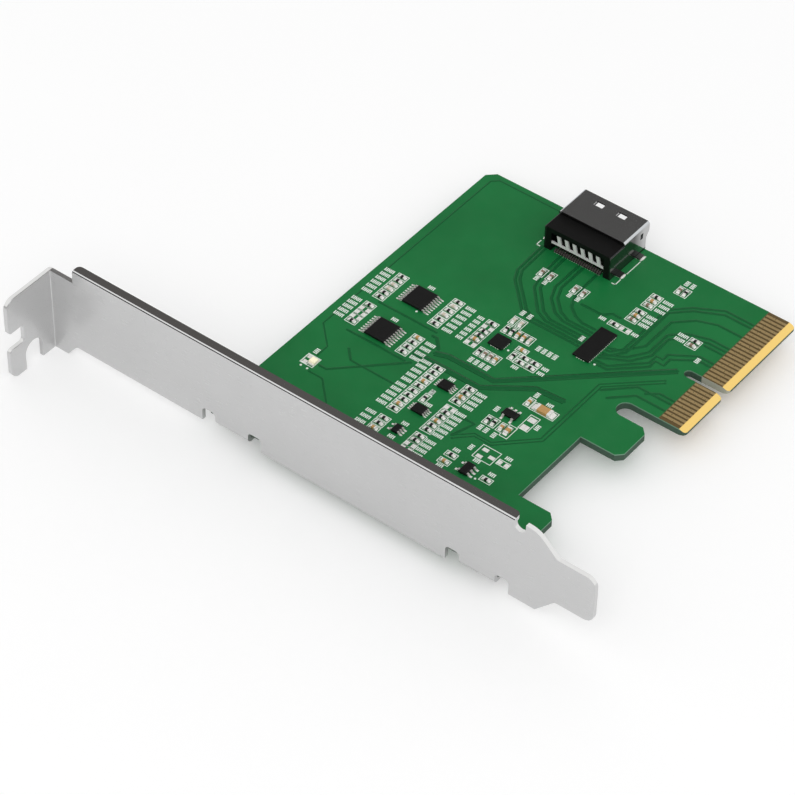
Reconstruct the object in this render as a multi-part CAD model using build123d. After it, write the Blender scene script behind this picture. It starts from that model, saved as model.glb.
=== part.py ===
"""Low-height expansion card: a four-lane edge card with one internal cable port.

The card lies with its component side up. The origin is on the bracket's outer face, where the
plane of the board's component side crosses the line of the contact edge. +X runs along the card
away from the bracket, +Y from the contact edge towards the bracket's screw tab, and +Z out of
the component side. All sizes are in millimetres.
"""
from build123d import *
import os

os.makedirs("parts", exist_ok=True)

# Circuit board outline
BOARD_THICKNESS = 1.57
BOARD_HEIGHT = 68.90
BOARD_START = 1.20
BOARD_CHAMFER = 1.65
KEY_START = 59.75
KEY_WIDTH = 1.90
KEY_DEPTH = 8.80
SHORT_TONGUE = 11.65
LONG_TONGUE = 21.65
TONGUE_CORNER = 0.70
SHOULDER_Y = 13.70
FOOT_END = 17.50
FOOT_Y = 5.70
LUG_START = 35.80
LUG_END = 44.40
LUG_Y = 5.25
LUG_CHAMFER = 1.20
RELIEF_DEPTH = 13.20
BEVEL_RUN = 1.35
BEVEL_DEPTH = 0.48

# Edge contacts, flush with the solder mask around them
CONTACT_PITCH = 1.00
CONTACT_WIDTH = 0.70
CONTACT_TOP_Y = 5.60
CONTACT_KEY_GAP = 0.55
MASK_STEP = 0.05
MASK_EDGE_Y = 5.75
SHORT_SIDE_CONTACTS = 11
LONG_SIDE_CONTACTS = 21

# Bracket, one folded sheet
SHEET = 0.86
BEND_INSIDE = 0.20
BEND_OUTSIDE = 0.50
BRACKET_LENGTH = 120.02
BRACKET_WIDTH = 18.42
BRACKET_LOW_Z = -2.85
BLADE_TIP_Y = -14.36
SCREW_TAB_REACH = 11.43
SCREW_TAB_DROP = 2.88
SCREW_NOTCH_RADIUS = 2.21
SCREW_NOTCH_X = -5.40
SCREW_NOTCH_TOP_Z = -0.20
CATCH_SLOT_LOW_Z = 1.20
CATCH_SLOT_HIGH_Z = 5.10
CATCH_SLOT_END_X = -7.60
EAR_LENGTH = 6.26
EAR_SLOPE = 2.30
FLANGE_REACH = 1.95
FLANGE_CORNER = 0.90
FLANGE_NEAR_Y = 2.25
RIM_NOTCH_WIDTH = 2.30
RIM_NOTCH_DEPTH = 2.20
SHOULDER_END_Y = -2.40
SHOULDER_SLOPE = 4.20
SHOULDER_ROUND = 4.50
BLADE_WIDTH = 10.19
BLADE_LOW_Z = 1.45
BLADE_CORNER = 2.00
BLADE_FOOT_Y = -6.60
BLADE_FOOT_SLOPE = 3.90

# Mounting tabs under the board, with their screws
TAB_WIDTH = 7.50
TAB_REACH = 9.60
TAB_NEAR_Y = 9.50
TAB_FAR_MARGIN = 5.75
TAB_BEND_INSIDE = 0.25
TAB_CORNER = 1.20
RELIEF_WIDTH = 2.90
RELIEF_HEIGHT = 3.05
RELIEF_ROUND = 0.80
SCREW_X = 5.60
SCREW_RADIUS = 1.45
SCREW_HEAD_RADIUS = 2.75
SCREW_HEAD_HEIGHT = 1.70
SCREW_TIP = 0.20
SCREW_CLEARANCE = 0.15
THREAD_CLEARANCE = 0.03
CROSS_LENGTH = 3.00
CROSS_WIDTH = 0.70
CROSS_DEPTH = 0.90

# Cable port at the far edge of the board
PORT_BACK_X = 72.00
PORT_Y = 40.70
HOUSING_WIDTH = 14.40
HOUSING_HEIGHT = 5.75
HOUSING_BACK_HEIGHT = 5.35
HOUSING_LENGTH = 11.40
CAGE_SHEET = 0.25
CAGE_START = 4.40
CAGE_OVERHANG = 0.90
CAGE_BACK_HEIGHT = 5.15
CAGE_ROUND = 0.55
CAGE_LEG_TOP = 2.80
CAGE_LIP_Z = 4.00
MOUTH_WIDTH = 12.00
MOUTH_FLOOR = 0.90
MOUTH_ROOF = 5.30
MOUTH_DEPTH = 5.00
CARD_SLOT_HEIGHT = 1.20
CARD_SLOT_WIDTH = 11.00
CARD_SLOT_DEPTH = 4.00
CARD_SLOT_LEAD_IN = 0.35
PORT_CONTACTS = 21
PORT_PITCH = 0.50
PORT_CONTACT_WIDTH = 0.26
PORT_CONTACT_THICKNESS = 0.15
WINDOW_LENGTH = 1.25
WINDOW_WIDTH = 1.95
WINDOW_SPACING = 5.05
WINDOW_SETBACK = 1.35
SIDE_SLOT_LENGTH = 0.80
SIDE_SLOT_HEIGHT = 1.30
SIDE_SLOT_SETBACK = 2.00
SIDE_SLOT_Z = 3.30
RECESS_WIDTH = 11.80
RECESS_HEIGHT = 4.30
RECESS_DEPTH = 1.50
COMB_SETBACK = 0.10
COMB_THICKNESS = 0.30
COMB_TEETH = 6
COMB_PITCH = 1.76
COMB_TOOTH_WIDTH = 0.72
COMB_TOOTH_LEAN = 0.50
COMB_RAIL_LOW = 1.85
COMB_RAIL_HIGH = 2.25
COMB_TOP = 4.10
TAIL_THICKNESS = 0.15
TAIL_WIDTH = 0.20
TAIL_TOP = 1.75
PEG_RADIUS = 0.45
PEG_SPACING = 9.60
PEG_BACK = 3.00
PEG_TIP = 0.40
PEG_CLEARANCE = 0.08
CAGE_FOOT_LENGTH = 1.50
CAGE_FOOT_REACH = 1.10
CAGE_FOOT_BACK = 2.50
CAGE_FOOT_SPACING = 6.30

# Lands and surface-mounted parts
LAND_THICKNESS = 0.04
LAND_MARGIN = 0.30
LEAD_LAND_MARGIN = 0.45
CHIP_CHAMFER = 0.15
STANDOFF = 0.10
QFN_LEAD = 0.40
QFN_LEAD_WIDTH = 0.25
QFN_LEAD_THICKNESS = 0.15
QFN_TOE = 0.05

# Chips: body length, width and height, span over the leads, lead pitch and lead width.
# Every place on the board is written as X and the distance down from the board's upper edge.
LOGIC_CHIP = (5.00, 4.40, 0.60, 6.40, 0.65, 0.28)
LOGIC_CHIP_PLACES = {"near": (35.25, 11.65), "far": (46.20, 11.75)}
BUFFER_CHIP = (2.10, 2.40, 0.55, 3.20, 0.50, 0.24)
BUFFER_CHIP_PLACES = {"near": (23.35, 29.25), "far": (31.00, 29.25)}
GATE_CHIP = (2.00, 1.25, 0.50, 2.30, 0.65, 0.36)
GATE_CHIP_PLACE = (17.05, 29.15)
SMALL_CHIP = (2.90, 1.60, 0.55, 2.70, 0.95, 0.45)
REGULATOR_PLACE = (16.80, 44.65)
RESET_CHIP_PLACE = (32.30, 42.55)

# Leadless chips: body length, width and height, and terminal pitch
REDRIVER = (9.00, 3.50, 0.55, 0.50)
REDRIVER_PLACE = (56.10, 43.70)
REDRIVER_SIDE_COUNT = 17
REDRIVER_END_COUNT = 4
CONTROLLER = (3.10, 3.10, 0.55, 0.50)
CONTROLLER_PLACE = (46.05, 29.90)
CONTROLLER_SIDE_COUNT = 4

# Other places on the board
MEDIUM_CAPACITOR_PLACE = (28.80, 44.55)
BULK_CAPACITOR_PLACE = (36.70, 46.55)
BARE_TRANSISTOR_PLACES = ((20.80, 44.30), (22.70, 44.30), (21.75, 46.30))
BARE_TRANSISTOR_LAND = (0.80, 1.20)
BARE_RESISTOR_PLACES = ((31.40, 46.30), (33.65, 46.30))
BARE_RESISTOR_LAND = (1.20, 1.50)
LAMP_PLACE = (21.25, 7.05)
COUPLING_SETBACK = 5.90

BOARD_BOTTOM = -BOARD_THICKNESS
BOARD_END = KEY_START + KEY_WIDTH + LONG_TONGUE
BRACKET_TOP_Z = BRACKET_LOW_Z + BRACKET_WIDTH
SCREW_TAB_Y = BLADE_TIP_Y + BRACKET_LENGTH
EAR_START_Y = SCREW_TAB_Y - EAR_LENGTH
TAB_FAR_Y = BOARD_HEIGHT - TAB_FAR_MARGIN
CENTRE_MIN = (Align.CENTER, Align.CENTER, Align.MIN)
CENTRE_MAX = (Align.CENTER, Align.CENTER, Align.MAX)

NODES = {}


def add(name, *shapes):
    """Keeps one node: a single solid, or a group of separate like solids."""
    solids = [solid for shape in shapes for solid in shape.solids()]
    NODES[name] = solids[0] if len(solids) == 1 else Compound(children=solids)


def block(x0, x1, y0, y1, z0, z1):
    """A box between two corners."""
    return Pos((x0 + x1) / 2, (y0 + y1) / 2, (z0 + z1) / 2) * Box(x1 - x0, y1 - y0, z1 - z0)


def prism(points, plane, height):
    """A closed outline on a plane, extruded along the plane's normal."""
    return extrude(plane * make_face(Polyline(*points, close=True)), height)


def on_board(x, down):
    """A place on the component side, a distance down from the board's upper edge."""
    return Pos(x, BOARD_HEIGHT - down)


def angle_section(leg, reach, thickness, inside, outside):
    """An L-shaped sheet section with its outer corner at the origin and a bend of two radii."""
    inner = thickness + inside
    edges = [
        Line((0, leg), (0, outside)),
        CenterArc((outside, outside), outside, 180, 90),
        Line((outside, 0), (reach, 0)),
        Line((reach, 0), (reach, thickness)),
        Line((reach, thickness), (inner, thickness)),
        CenterArc((inner, inner), inside, 270, -90),
        Line((thickness, inner), (thickness, leg)),
        Line((thickness, leg), (0, leg)),
    ]
    return make_face(edges)


# Circuit board

def board_outline():
    """Outline of the bare board, from the foot round the tongues to the far corner."""
    short_start = KEY_START - SHORT_TONGUE
    key_end = KEY_START + KEY_WIDTH
    key_radius = KEY_WIDTH / 2
    relief_radius = (short_start - LUG_END) / 2
    face = make_face(Polyline(
        (BOARD_START, FOOT_Y), (FOOT_END - LUG_CHAMFER, FOOT_Y), (FOOT_END, FOOT_Y + LUG_CHAMFER),
        (FOOT_END, SHOULDER_Y), (LUG_START, SHOULDER_Y), (LUG_START, LUG_Y + LUG_CHAMFER),
        (LUG_START + LUG_CHAMFER, LUG_Y), (LUG_END - LUG_CHAMFER, LUG_Y),
        (LUG_END, LUG_Y + LUG_CHAMFER), (LUG_END, RELIEF_DEPTH - relief_radius),
        (short_start, RELIEF_DEPTH - relief_radius), (short_start, 0), (BOARD_END, 0),
        (BOARD_END, BOARD_HEIGHT - BOARD_CHAMFER), (BOARD_END - BOARD_CHAMFER, BOARD_HEIGHT),
        (BOARD_START, BOARD_HEIGHT), close=True))
    face -= Pos(LUG_END + relief_radius, RELIEF_DEPTH - relief_radius) * Circle(relief_radius)
    key_middle = KEY_START + key_radius
    key_straight = KEY_DEPTH - key_radius
    face -= Pos(key_middle, key_straight / 2) * Rectangle(KEY_WIDTH, key_straight)
    face -= Pos(key_middle, key_straight) * Circle(key_radius)
    corners = [v for v in face.vertices() if v.Y < 0.001
               and min(abs(v.X - x) for x in (short_start, KEY_START, key_end, BOARD_END)) < 0.001]
    return fillet(corners, TONGUE_CORNER)


def circuit_board():
    """The bare board, with bevelled contact edges, mask openings and its drilled holes."""
    board = extrude(board_outline(), -BOARD_THICKNESS)
    short_start = KEY_START - SHORT_TONGUE
    yz = Plane(origin=(short_start, 0, 0), x_dir=(0, 1, 0), z_dir=(1, 0, 0))
    across = BOARD_END - short_start
    board -= block(short_start, BOARD_END, 0, MASK_EDGE_Y, -MASK_STEP, 0)
    board -= block(short_start, BOARD_END, 0, MASK_EDGE_Y, BOARD_BOTTOM, BOARD_BOTTOM + MASK_STEP)
    upper = -MASK_STEP
    lower = BOARD_BOTTOM + MASK_STEP
    board -= prism([(0, upper), (BEVEL_RUN, upper), (0, upper - BEVEL_DEPTH)], yz, across)
    board -= prism([(0, lower), (BEVEL_RUN, lower), (0, lower + BEVEL_DEPTH)], yz, across)
    for y in (TAB_NEAR_Y, TAB_FAR_Y):
        hole = Cylinder(SCREW_RADIUS + SCREW_CLEARANCE, BOARD_THICKNESS, align=CENTRE_MAX)
        board -= Pos(SCREW_X, y) * hole
    for x, y in peg_places():
        board -= Pos(x, y) * Cylinder(PEG_RADIUS + PEG_CLEARANCE, BOARD_THICKNESS, align=CENTRE_MAX)
    return board


def edge_contacts(z):
    """One face's gold contacts on both tongues, standing on height z."""
    first_short = KEY_START - CONTACT_KEY_GAP
    first_long = KEY_START + KEY_WIDTH + CONTACT_KEY_GAP
    places = [first_short - i * CONTACT_PITCH for i in range(SHORT_SIDE_CONTACTS)]
    places += [first_long + i * CONTACT_PITCH for i in range(LONG_SIDE_CONTACTS)]
    half = CONTACT_WIDTH / 2
    return [block(x - half, x + half, BEVEL_RUN, CONTACT_TOP_Y, z, z + MASK_STEP) for x in places]


# Bracket

def bracket_face():
    """The bracket's long face in the YZ plane, from the screw tab's bend to the tip of the blade."""
    tab_top = BRACKET_TOP_Z - SCREW_TAB_DROP
    ear_low = BRACKET_LOW_Z - SCREW_TAB_DROP
    bend_y = SCREW_TAB_Y - SHEET - BEND_INSIDE
    blade_top = BLADE_LOW_Z + BLADE_WIDTH
    outline = make_face(Polyline(
        (bend_y, ear_low), (EAR_START_Y + EAR_SLOPE, ear_low), (EAR_START_Y, BRACKET_LOW_Z),
        (BLADE_FOOT_Y + BLADE_FOOT_SLOPE, BRACKET_LOW_Z), (BLADE_FOOT_Y, BLADE_LOW_Z),
        (BLADE_TIP_Y, BLADE_LOW_Z), (BLADE_TIP_Y, blade_top),
        (SHOULDER_END_Y - SHOULDER_SLOPE, blade_top), (SHOULDER_END_Y, BRACKET_TOP_Z),
        (FLANGE_NEAR_Y, BRACKET_TOP_Z), (EAR_START_Y, BRACKET_TOP_Z), (EAR_START_Y, tab_top),
        (bend_y, tab_top), close=True))
    rounds = ((BLADE_TIP_Y, BLADE_LOW_Z, BLADE_CORNER), (BLADE_TIP_Y, blade_top, BLADE_CORNER),
              (BLADE_FOOT_Y, BLADE_LOW_Z, BLADE_CORNER / 2),
              (EAR_START_Y, BRACKET_LOW_Z, BLADE_CORNER / 2),
              (SHOULDER_END_Y - SHOULDER_SLOPE, blade_top, BLADE_CORNER / 2),
              (SHOULDER_END_Y, BRACKET_TOP_Z, SHOULDER_ROUND))
    for y, z, radius in rounds:
        corner = [v for v in outline.vertices() if abs(v.X - y) + abs(v.Y - z) < 0.001]
        outline = fillet(corner, radius)
    return outline


def tab_cut(y, fold_z):
    """What is cut from the face round one mounting tab: the fold and a relief at each side."""
    low = BRACKET_LOW_Z - SHEET
    cut = Pos(y, (low + fold_z) / 2) * Rectangle(TAB_WIDTH, fold_z - low)
    top = BRACKET_LOW_Z + RELIEF_HEIGHT
    for side in (-1, 1):
        middle = y + side * (TAB_WIDTH + RELIEF_WIDTH) / 2
        relief = Pos(middle, (low + top) / 2) * Rectangle(RELIEF_WIDTH, top - low)
        cut += fillet(relief.vertices().group_by(Axis.Y)[-1], RELIEF_ROUND)
    return cut


def screw_tab():
    """The bent-out end with its screw notch and the catch slot in its outer edge."""
    top = BRACKET_TOP_Z - SCREW_TAB_DROP
    low = BRACKET_LOW_Z - SCREW_TAB_DROP
    end = -SCREW_TAB_REACH
    plate = Pos((end - BEND_INSIDE) / 2, (low + top) / 2)
    plate *= Rectangle(SCREW_TAB_REACH - BEND_INSIDE, top - low)
    outer = plate.vertices().group_by(Axis.X)[0]
    plate = fillet(outer, BLADE_CORNER)
    notch_z = SCREW_NOTCH_TOP_Z - SCREW_NOTCH_RADIUS
    notch = Pos(SCREW_NOTCH_X, notch_z) * Circle(SCREW_NOTCH_RADIUS)
    notch += Pos(SCREW_NOTCH_X, (low + notch_z) / 2) * Rectangle(2 * SCREW_NOTCH_RADIUS, notch_z - low)
    slot_z = (CATCH_SLOT_LOW_Z + CATCH_SLOT_HIGH_Z) / 2
    slot = Pos((end + CATCH_SLOT_END_X) / 2, slot_z)
    slot *= Rectangle(CATCH_SLOT_END_X - end, CATCH_SLOT_HIGH_Z - CATCH_SLOT_LOW_Z)
    slot = fillet(slot.vertices().group_by(Axis.X)[-1], RELIEF_ROUND)
    plate -= notch + slot
    hook = [v for v in plate.vertices() if abs(v.X - end) < 0.001 and v.Y < top - BLADE_CORNER
            and v.Y > low + BLADE_CORNER]
    plate = fillet(hook, RELIEF_ROUND)
    return extrude(Plane(origin=(0, SCREW_TAB_Y, 0), x_dir=(1, 0, 0), z_dir=(0, -1, 0)) * plate, SHEET)


def mounting_bracket():
    """One folded sheet: face, rim flange, screw tab and the two tabs that carry the board."""
    inner = SHEET + BEND_INSIDE
    fold_z = BOARD_BOTTOM + TAB_BEND_INSIDE
    yz = Plane(origin=(0, 0, 0), x_dir=(0, 1, 0), z_dir=(1, 0, 0))
    flat = bracket_face()
    for y in (TAB_NEAR_Y, TAB_FAR_Y):
        flat -= tab_cut(y, fold_z)
    notch_z = BRACKET_TOP_Z - RIM_NOTCH_DEPTH + RIM_NOTCH_WIDTH / 2
    notch_y = FLANGE_NEAR_Y - RIM_NOTCH_WIDTH / 2
    flat -= Pos(notch_y, notch_z) * Circle(RIM_NOTCH_WIDTH / 2)
    flat -= Pos(notch_y, (notch_z + BRACKET_TOP_Z) / 2) * Rectangle(RIM_NOTCH_WIDTH, BRACKET_TOP_Z - notch_z)
    rim_length = EAR_START_Y - FLANGE_NEAR_Y
    rim_middle = (EAR_START_Y + FLANGE_NEAR_Y) / 2
    flat -= Pos(rim_middle, BRACKET_TOP_Z - inner / 2) * Rectangle(rim_length, inner)
    bracket = extrude(yz * flat, SHEET)

    section = angle_section(inner + SHEET, FLANGE_REACH, SHEET, BEND_INSIDE, BEND_OUTSIDE)
    rim_plane = Plane(origin=(0, FLANGE_NEAR_Y, BRACKET_TOP_Z), x_dir=(1, 0, 0), z_dir=(0, 1, 0))
    rim = extrude(rim_plane * section, rim_length)
    bracket += fillet(rim.edges().filter_by(Axis.Z).group_by(Axis.X)[-1], FLANGE_CORNER)

    bend = angle_section(inner + SHEET, inner + SHEET, SHEET, BEND_INSIDE, BEND_OUTSIDE)
    corner = Plane(origin=(SHEET, SCREW_TAB_Y, BRACKET_LOW_Z - SCREW_TAB_DROP),
                   x_dir=(-1, 0, 0), z_dir=(0, 0, 1))
    bracket += extrude(corner * bend, BRACKET_WIDTH)
    bracket += screw_tab()

    tab = angle_section(TAB_BEND_INSIDE + 2 * SHEET, TAB_REACH, SHEET, TAB_BEND_INSIDE,
                        TAB_BEND_INSIDE + SHEET)
    for y in (TAB_NEAR_Y, TAB_FAR_Y):
        plane = Plane(origin=(0, y + TAB_WIDTH / 2, BOARD_BOTTOM - SHEET), x_dir=(1, 0, 0), z_dir=(0, -1, 0))
        solid = extrude(plane * tab, TAB_WIDTH)
        corners = solid.edges().filter_by(Axis.Z).group_by(Axis.X)[-1]
        solid = fillet(corners, TAB_CORNER)
        hole = Cylinder(SCREW_RADIUS + THREAD_CLEARANCE, 3 * SHEET)
        bracket += solid - Pos(SCREW_X, y, BOARD_BOTTOM - SHEET / 2) * hole
    return bracket


def bracket_screw():
    """A pan-head screw from the component side, through the board into a tab."""
    seat = LAND_THICKNESS
    head = Pos(0, 0, seat) * Cylinder(SCREW_HEAD_RADIUS, SCREW_HEAD_HEIGHT, align=CENTRE_MIN)
    head = chamfer(head.edges().sort_by(Axis.Z)[-1], SCREW_HEAD_HEIGHT / 3, SCREW_HEAD_HEIGHT / 2)
    top = seat + SCREW_HEAD_HEIGHT
    for angle in (0, 90):
        bar = Box(CROSS_LENGTH, CROSS_WIDTH, CROSS_DEPTH, align=CENTRE_MAX)
        head -= Pos(0, 0, top) * Rot(0, 0, angle) * bar
    length = seat + BOARD_THICKNESS + SHEET + SCREW_TIP
    return head + Pos(0, 0, seat) * Cylinder(SCREW_RADIUS, length, align=CENTRE_MAX)


def screw_land():
    """The bare ring that a screw's head is seated on."""
    ring = Cylinder(SCREW_HEAD_RADIUS + LAND_MARGIN, LAND_THICKNESS, align=CENTRE_MIN)
    return ring - Cylinder(SCREW_RADIUS + SCREW_CLEARANCE, LAND_THICKNESS, align=CENTRE_MIN)


# Cable port

HOUSING_FRONT_X = PORT_BACK_X + HOUSING_LENGTH
CAGE_FRONT_X = HOUSING_FRONT_X + CAGE_OVERHANG
MOUTH_BACK_X = HOUSING_FRONT_X - MOUTH_DEPTH
CARD_SLOT_Z = (MOUTH_FLOOR + MOUTH_ROOF) / 2
RECESS_BACK_X = PORT_BACK_X + RECESS_DEPTH


def row(count, pitch):
    """Offsets of evenly spaced places about zero."""
    return [(i - (count - 1) / 2) * pitch for i in range(count)]


def peg_places():
    """Centres of the port's two locating pegs."""
    return [(PORT_BACK_X + PEG_BACK, PORT_Y + dy) for dy in row(2, PEG_SPACING)]


def window_places():
    """Centres of the two latch windows in the top of the cage."""
    x = CAGE_FRONT_X - WINDOW_SETBACK - WINDOW_LENGTH / 2
    return [(x, PORT_Y + dy) for dy in row(2, WINDOW_SPACING)]


def port_housing():
    """The moulded insert: stepped roof, open mouth with a card slot behind it, and a rear recess."""
    half = HOUSING_WIDTH / 2
    step_x = PORT_BACK_X + CAGE_START
    body = block(PORT_BACK_X, step_x, PORT_Y - half, PORT_Y + half, 0, HOUSING_BACK_HEIGHT)
    front = block(step_x, HOUSING_FRONT_X, PORT_Y - half, PORT_Y + half, 0, HOUSING_HEIGHT)
    ridge = front.edges().filter_by(Axis.X).group_by(Axis.Z)[-1]
    body += chamfer(ridge, CAGE_ROUND - CAGE_SHEET)
    mouth = MOUTH_WIDTH / 2
    body -= block(MOUTH_BACK_X, HOUSING_FRONT_X, PORT_Y - mouth, PORT_Y + mouth, MOUTH_FLOOR, MOUTH_ROOF)
    slot = CARD_SLOT_WIDTH / 2
    tall = CARD_SLOT_HEIGHT / 2
    body -= block(MOUTH_BACK_X - CARD_SLOT_DEPTH, MOUTH_BACK_X, PORT_Y - slot, PORT_Y + slot,
                  CARD_SLOT_Z - tall, CARD_SLOT_Z + tall)
    rims = [e for e in body.edges().filter_by(Axis.Y) if abs(e.center().X - MOUTH_BACK_X) < 0.001
            and abs(abs(e.center().Z - CARD_SLOT_Z) - tall) < 0.001]
    body = chamfer(rims, CARD_SLOT_LEAD_IN)
    for x, y in window_places():
        body -= block(x - WINDOW_LENGTH / 2, HOUSING_FRONT_X, y - WINDOW_WIDTH / 2, y + WINDOW_WIDTH / 2,
                      MOUTH_ROOF, HOUSING_HEIGHT)
    recess = RECESS_WIDTH / 2
    body -= block(PORT_BACK_X, RECESS_BACK_X, PORT_Y - recess, PORT_Y + recess, 0, RECESS_HEIGHT)
    for x, y in peg_places():
        body += Pos(x, y) * Cylinder(PEG_RADIUS, BOARD_THICKNESS + PEG_TIP, align=CENTRE_MAX)
    return body


def cage_foot_places():
    """Where the cage's solder feet stand, as X and the side of the port."""
    first = PORT_BACK_X + CAGE_FOOT_BACK
    return [(first + i * CAGE_FOOT_SPACING, side) for i in (0, 1) for side in (-1, 1)]


def port_cage():
    """The folded metal shell over the housing, with its windows, side slots and solder feet."""
    inner = HOUSING_WIDTH / 2
    outer = inner + CAGE_SHEET
    start = PORT_BACK_X + CAGE_START
    top = HOUSING_HEIGHT + CAGE_SHEET
    shell = block(start, CAGE_FRONT_X, PORT_Y - outer, PORT_Y + outer, 0, top)
    shell = fillet(shell.edges().filter_by(Axis.X).group_by(Axis.Z)[-1], CAGE_ROUND)
    core = block(start, CAGE_FRONT_X, PORT_Y - inner, PORT_Y + inner, 0, HOUSING_HEIGHT)
    core = chamfer(core.edges().filter_by(Axis.X).group_by(Axis.Z)[-1], CAGE_ROUND - CAGE_SHEET)
    shell -= core
    xz = Plane(origin=(0, PORT_Y - outer, 0), x_dir=(1, 0, 0), z_dir=(0, -1, 0))
    lip = [(HOUSING_FRONT_X, 0), (CAGE_FRONT_X, 0), (CAGE_FRONT_X, CAGE_LIP_Z), (HOUSING_FRONT_X, CAGE_LEG_TOP)]
    shell -= prism(lip, xz, -2 * outer)
    for side in (-1, 1):
        y0, y1 = sorted((PORT_Y + side * inner, PORT_Y + side * outer))
        shell += block(PORT_BACK_X, start, y0, y1, 0, CAGE_BACK_HEIGHT)
        slot_x = CAGE_FRONT_X - SIDE_SLOT_SETBACK
        shell -= block(slot_x - SIDE_SLOT_LENGTH, slot_x, y0, y1, SIDE_SLOT_Z, SIDE_SLOT_Z + SIDE_SLOT_HEIGHT)
    for x, y in window_places():
        shell -= Pos(x, y, HOUSING_HEIGHT) * Box(WINDOW_LENGTH, WINDOW_WIDTH, CAGE_SHEET, align=CENTRE_MIN)
    for x, side in cage_foot_places():
        y0, y1 = sorted((PORT_Y + side * outer, PORT_Y + side * (outer + CAGE_FOOT_REACH)))
        half = CAGE_FOOT_LENGTH / 2
        shell += block(x - half, x + half, y0, y1, LAND_THICKNESS, LAND_THICKNESS + CAGE_SHEET)
    return shell


def cage_foot_lands():
    """Lands under the cage's four solder feet."""
    outer = HOUSING_WIDTH / 2 + CAGE_SHEET
    half = CAGE_FOOT_LENGTH / 2
    lands = []
    for x, side in cage_foot_places():
        reach = outer + CAGE_FOOT_REACH + LAND_MARGIN
        y0, y1 = sorted((PORT_Y + side * outer, PORT_Y + side * reach))
        lands.append(block(x - half, x + half, y0, y1, 0, LAND_THICKNESS))
    return lands


def port_comb():
    """The leaning-toothed metal comb across the mouth of the rear recess, held by its two sides."""
    yz = Plane(origin=(PORT_BACK_X + COMB_SETBACK, PORT_Y, 0), x_dir=(0, 1, 0), z_dir=(1, 0, 0))
    half = RECESS_WIDTH / 2
    rail = [(-half, COMB_RAIL_LOW), (half, COMB_RAIL_LOW), (half, COMB_RAIL_HIGH), (-half, COMB_RAIL_HIGH)]
    comb = prism(rail, yz, COMB_THICKNESS)
    for y in row(COMB_TEETH, COMB_PITCH):
        left, right = y - COMB_TOOTH_WIDTH / 2, y + COMB_TOOTH_WIDTH / 2
        tooth = [(left - COMB_TOOTH_LEAN, COMB_RAIL_LOW), (right - COMB_TOOTH_LEAN, COMB_RAIL_LOW),
                 (right, COMB_TOP), (left, COMB_TOP)]
        comb += prism(tooth, yz, COMB_THICKNESS)
    return comb


def port_contacts(side):
    """One row of contacts, on the upper (1) or lower (-1) wall of the port's card slot."""
    wall = CARD_SLOT_Z + side * CARD_SLOT_HEIGHT / 2
    z0, z1 = sorted((wall, wall - side * PORT_CONTACT_THICKNESS))
    half = PORT_CONTACT_WIDTH / 2
    return [block(MOUTH_BACK_X - CARD_SLOT_DEPTH, MOUTH_BACK_X - CARD_SLOT_LEAD_IN,
                  PORT_Y + dy - half, PORT_Y + dy + half, z0, z1) for dy in row(PORT_CONTACTS, PORT_PITCH)]


def port_tails():
    """The contacts' soldered tails: down the recess's back wall and along their lands."""
    wall = RECESS_BACK_X
    knee = wall - TAIL_THICKNESS
    toe = PORT_BACK_X + TAIL_THICKNESS
    low = LAND_THICKNESS
    bend = low + TAIL_THICKNESS
    outline = [(wall, TAIL_TOP), (wall, low), (toe, low), (toe, bend), (knee, bend), (knee, TAIL_TOP)]
    tails = []
    for dy in row(PORT_CONTACTS, PORT_PITCH):
        plane = Plane(origin=(0, PORT_Y + dy + TAIL_WIDTH / 2, 0), x_dir=(1, 0, 0), z_dir=(0, -1, 0))
        tails.append(prism(outline, plane, TAIL_WIDTH))
    return tails


def port_tail_lands():
    """One land under each soldered tail."""
    half = (TAIL_WIDTH + PORT_CONTACT_WIDTH) / 4
    return [block(PORT_BACK_X, RECESS_BACK_X, PORT_Y + dy - half, PORT_Y + dy + half, 0, LAND_THICKNESS)
            for dy in row(PORT_CONTACTS, PORT_PITCH)]


# Chips with leads

def lead(x, width, body_edge, toe, middle):
    """One gull-wing lead on the +Y side: foot on its land, shank, and shoulder into the body."""
    t = STANDOFF + LAND_THICKNESS
    low = LAND_THICKNESS
    shank = body_edge + (toe - body_edge) * 0.35
    outline = [(body_edge, middle), (body_edge, middle + t), (shank + t, middle + t), (shank + t, low + t),
               (toe, low + t), (toe, low), (shank, low), (shank, middle)]
    plane = Plane(origin=(x - width / 2, 0, 0), x_dir=(0, 1, 0), z_dir=(1, 0, 0))
    return prism(outline, plane, width)


def leaded_chip(name, place, turn, sizes, rows):
    """A moulded chip with leads on both long sides; rows holds the lead numbers of each side."""
    length, width, height, span, pitch, lead_width = sizes
    bottom = LAND_THICKNESS + STANDOFF
    body = Pos(0, 0, bottom) * Box(length, width, height, align=CENTRE_MIN)
    body = chamfer(body.faces().sort_by(Axis.Z)[-1].edges(), CHIP_CHAMFER)
    where = on_board(*place) * Rot(0, 0, turn)
    leads = []
    for side, numbers in enumerate(rows):
        for number in numbers:
            one = lead(number * pitch, lead_width, width / 2, span / 2, bottom + height / 3)
            land = block(number * pitch - lead_width / 2, number * pitch + lead_width / 2,
                         width / 2 + LAND_MARGIN, span / 2 + LEAD_LAND_MARGIN, 0, LAND_THICKNESS)
            flip = where * Rot(0, 0, 180 * side)
            leads.append(flip * one)
            LANDS.append(flip * land)
    add(name + "_body", where * body)
    add(name + "_leads", *leads)


# Chips without leads

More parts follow.
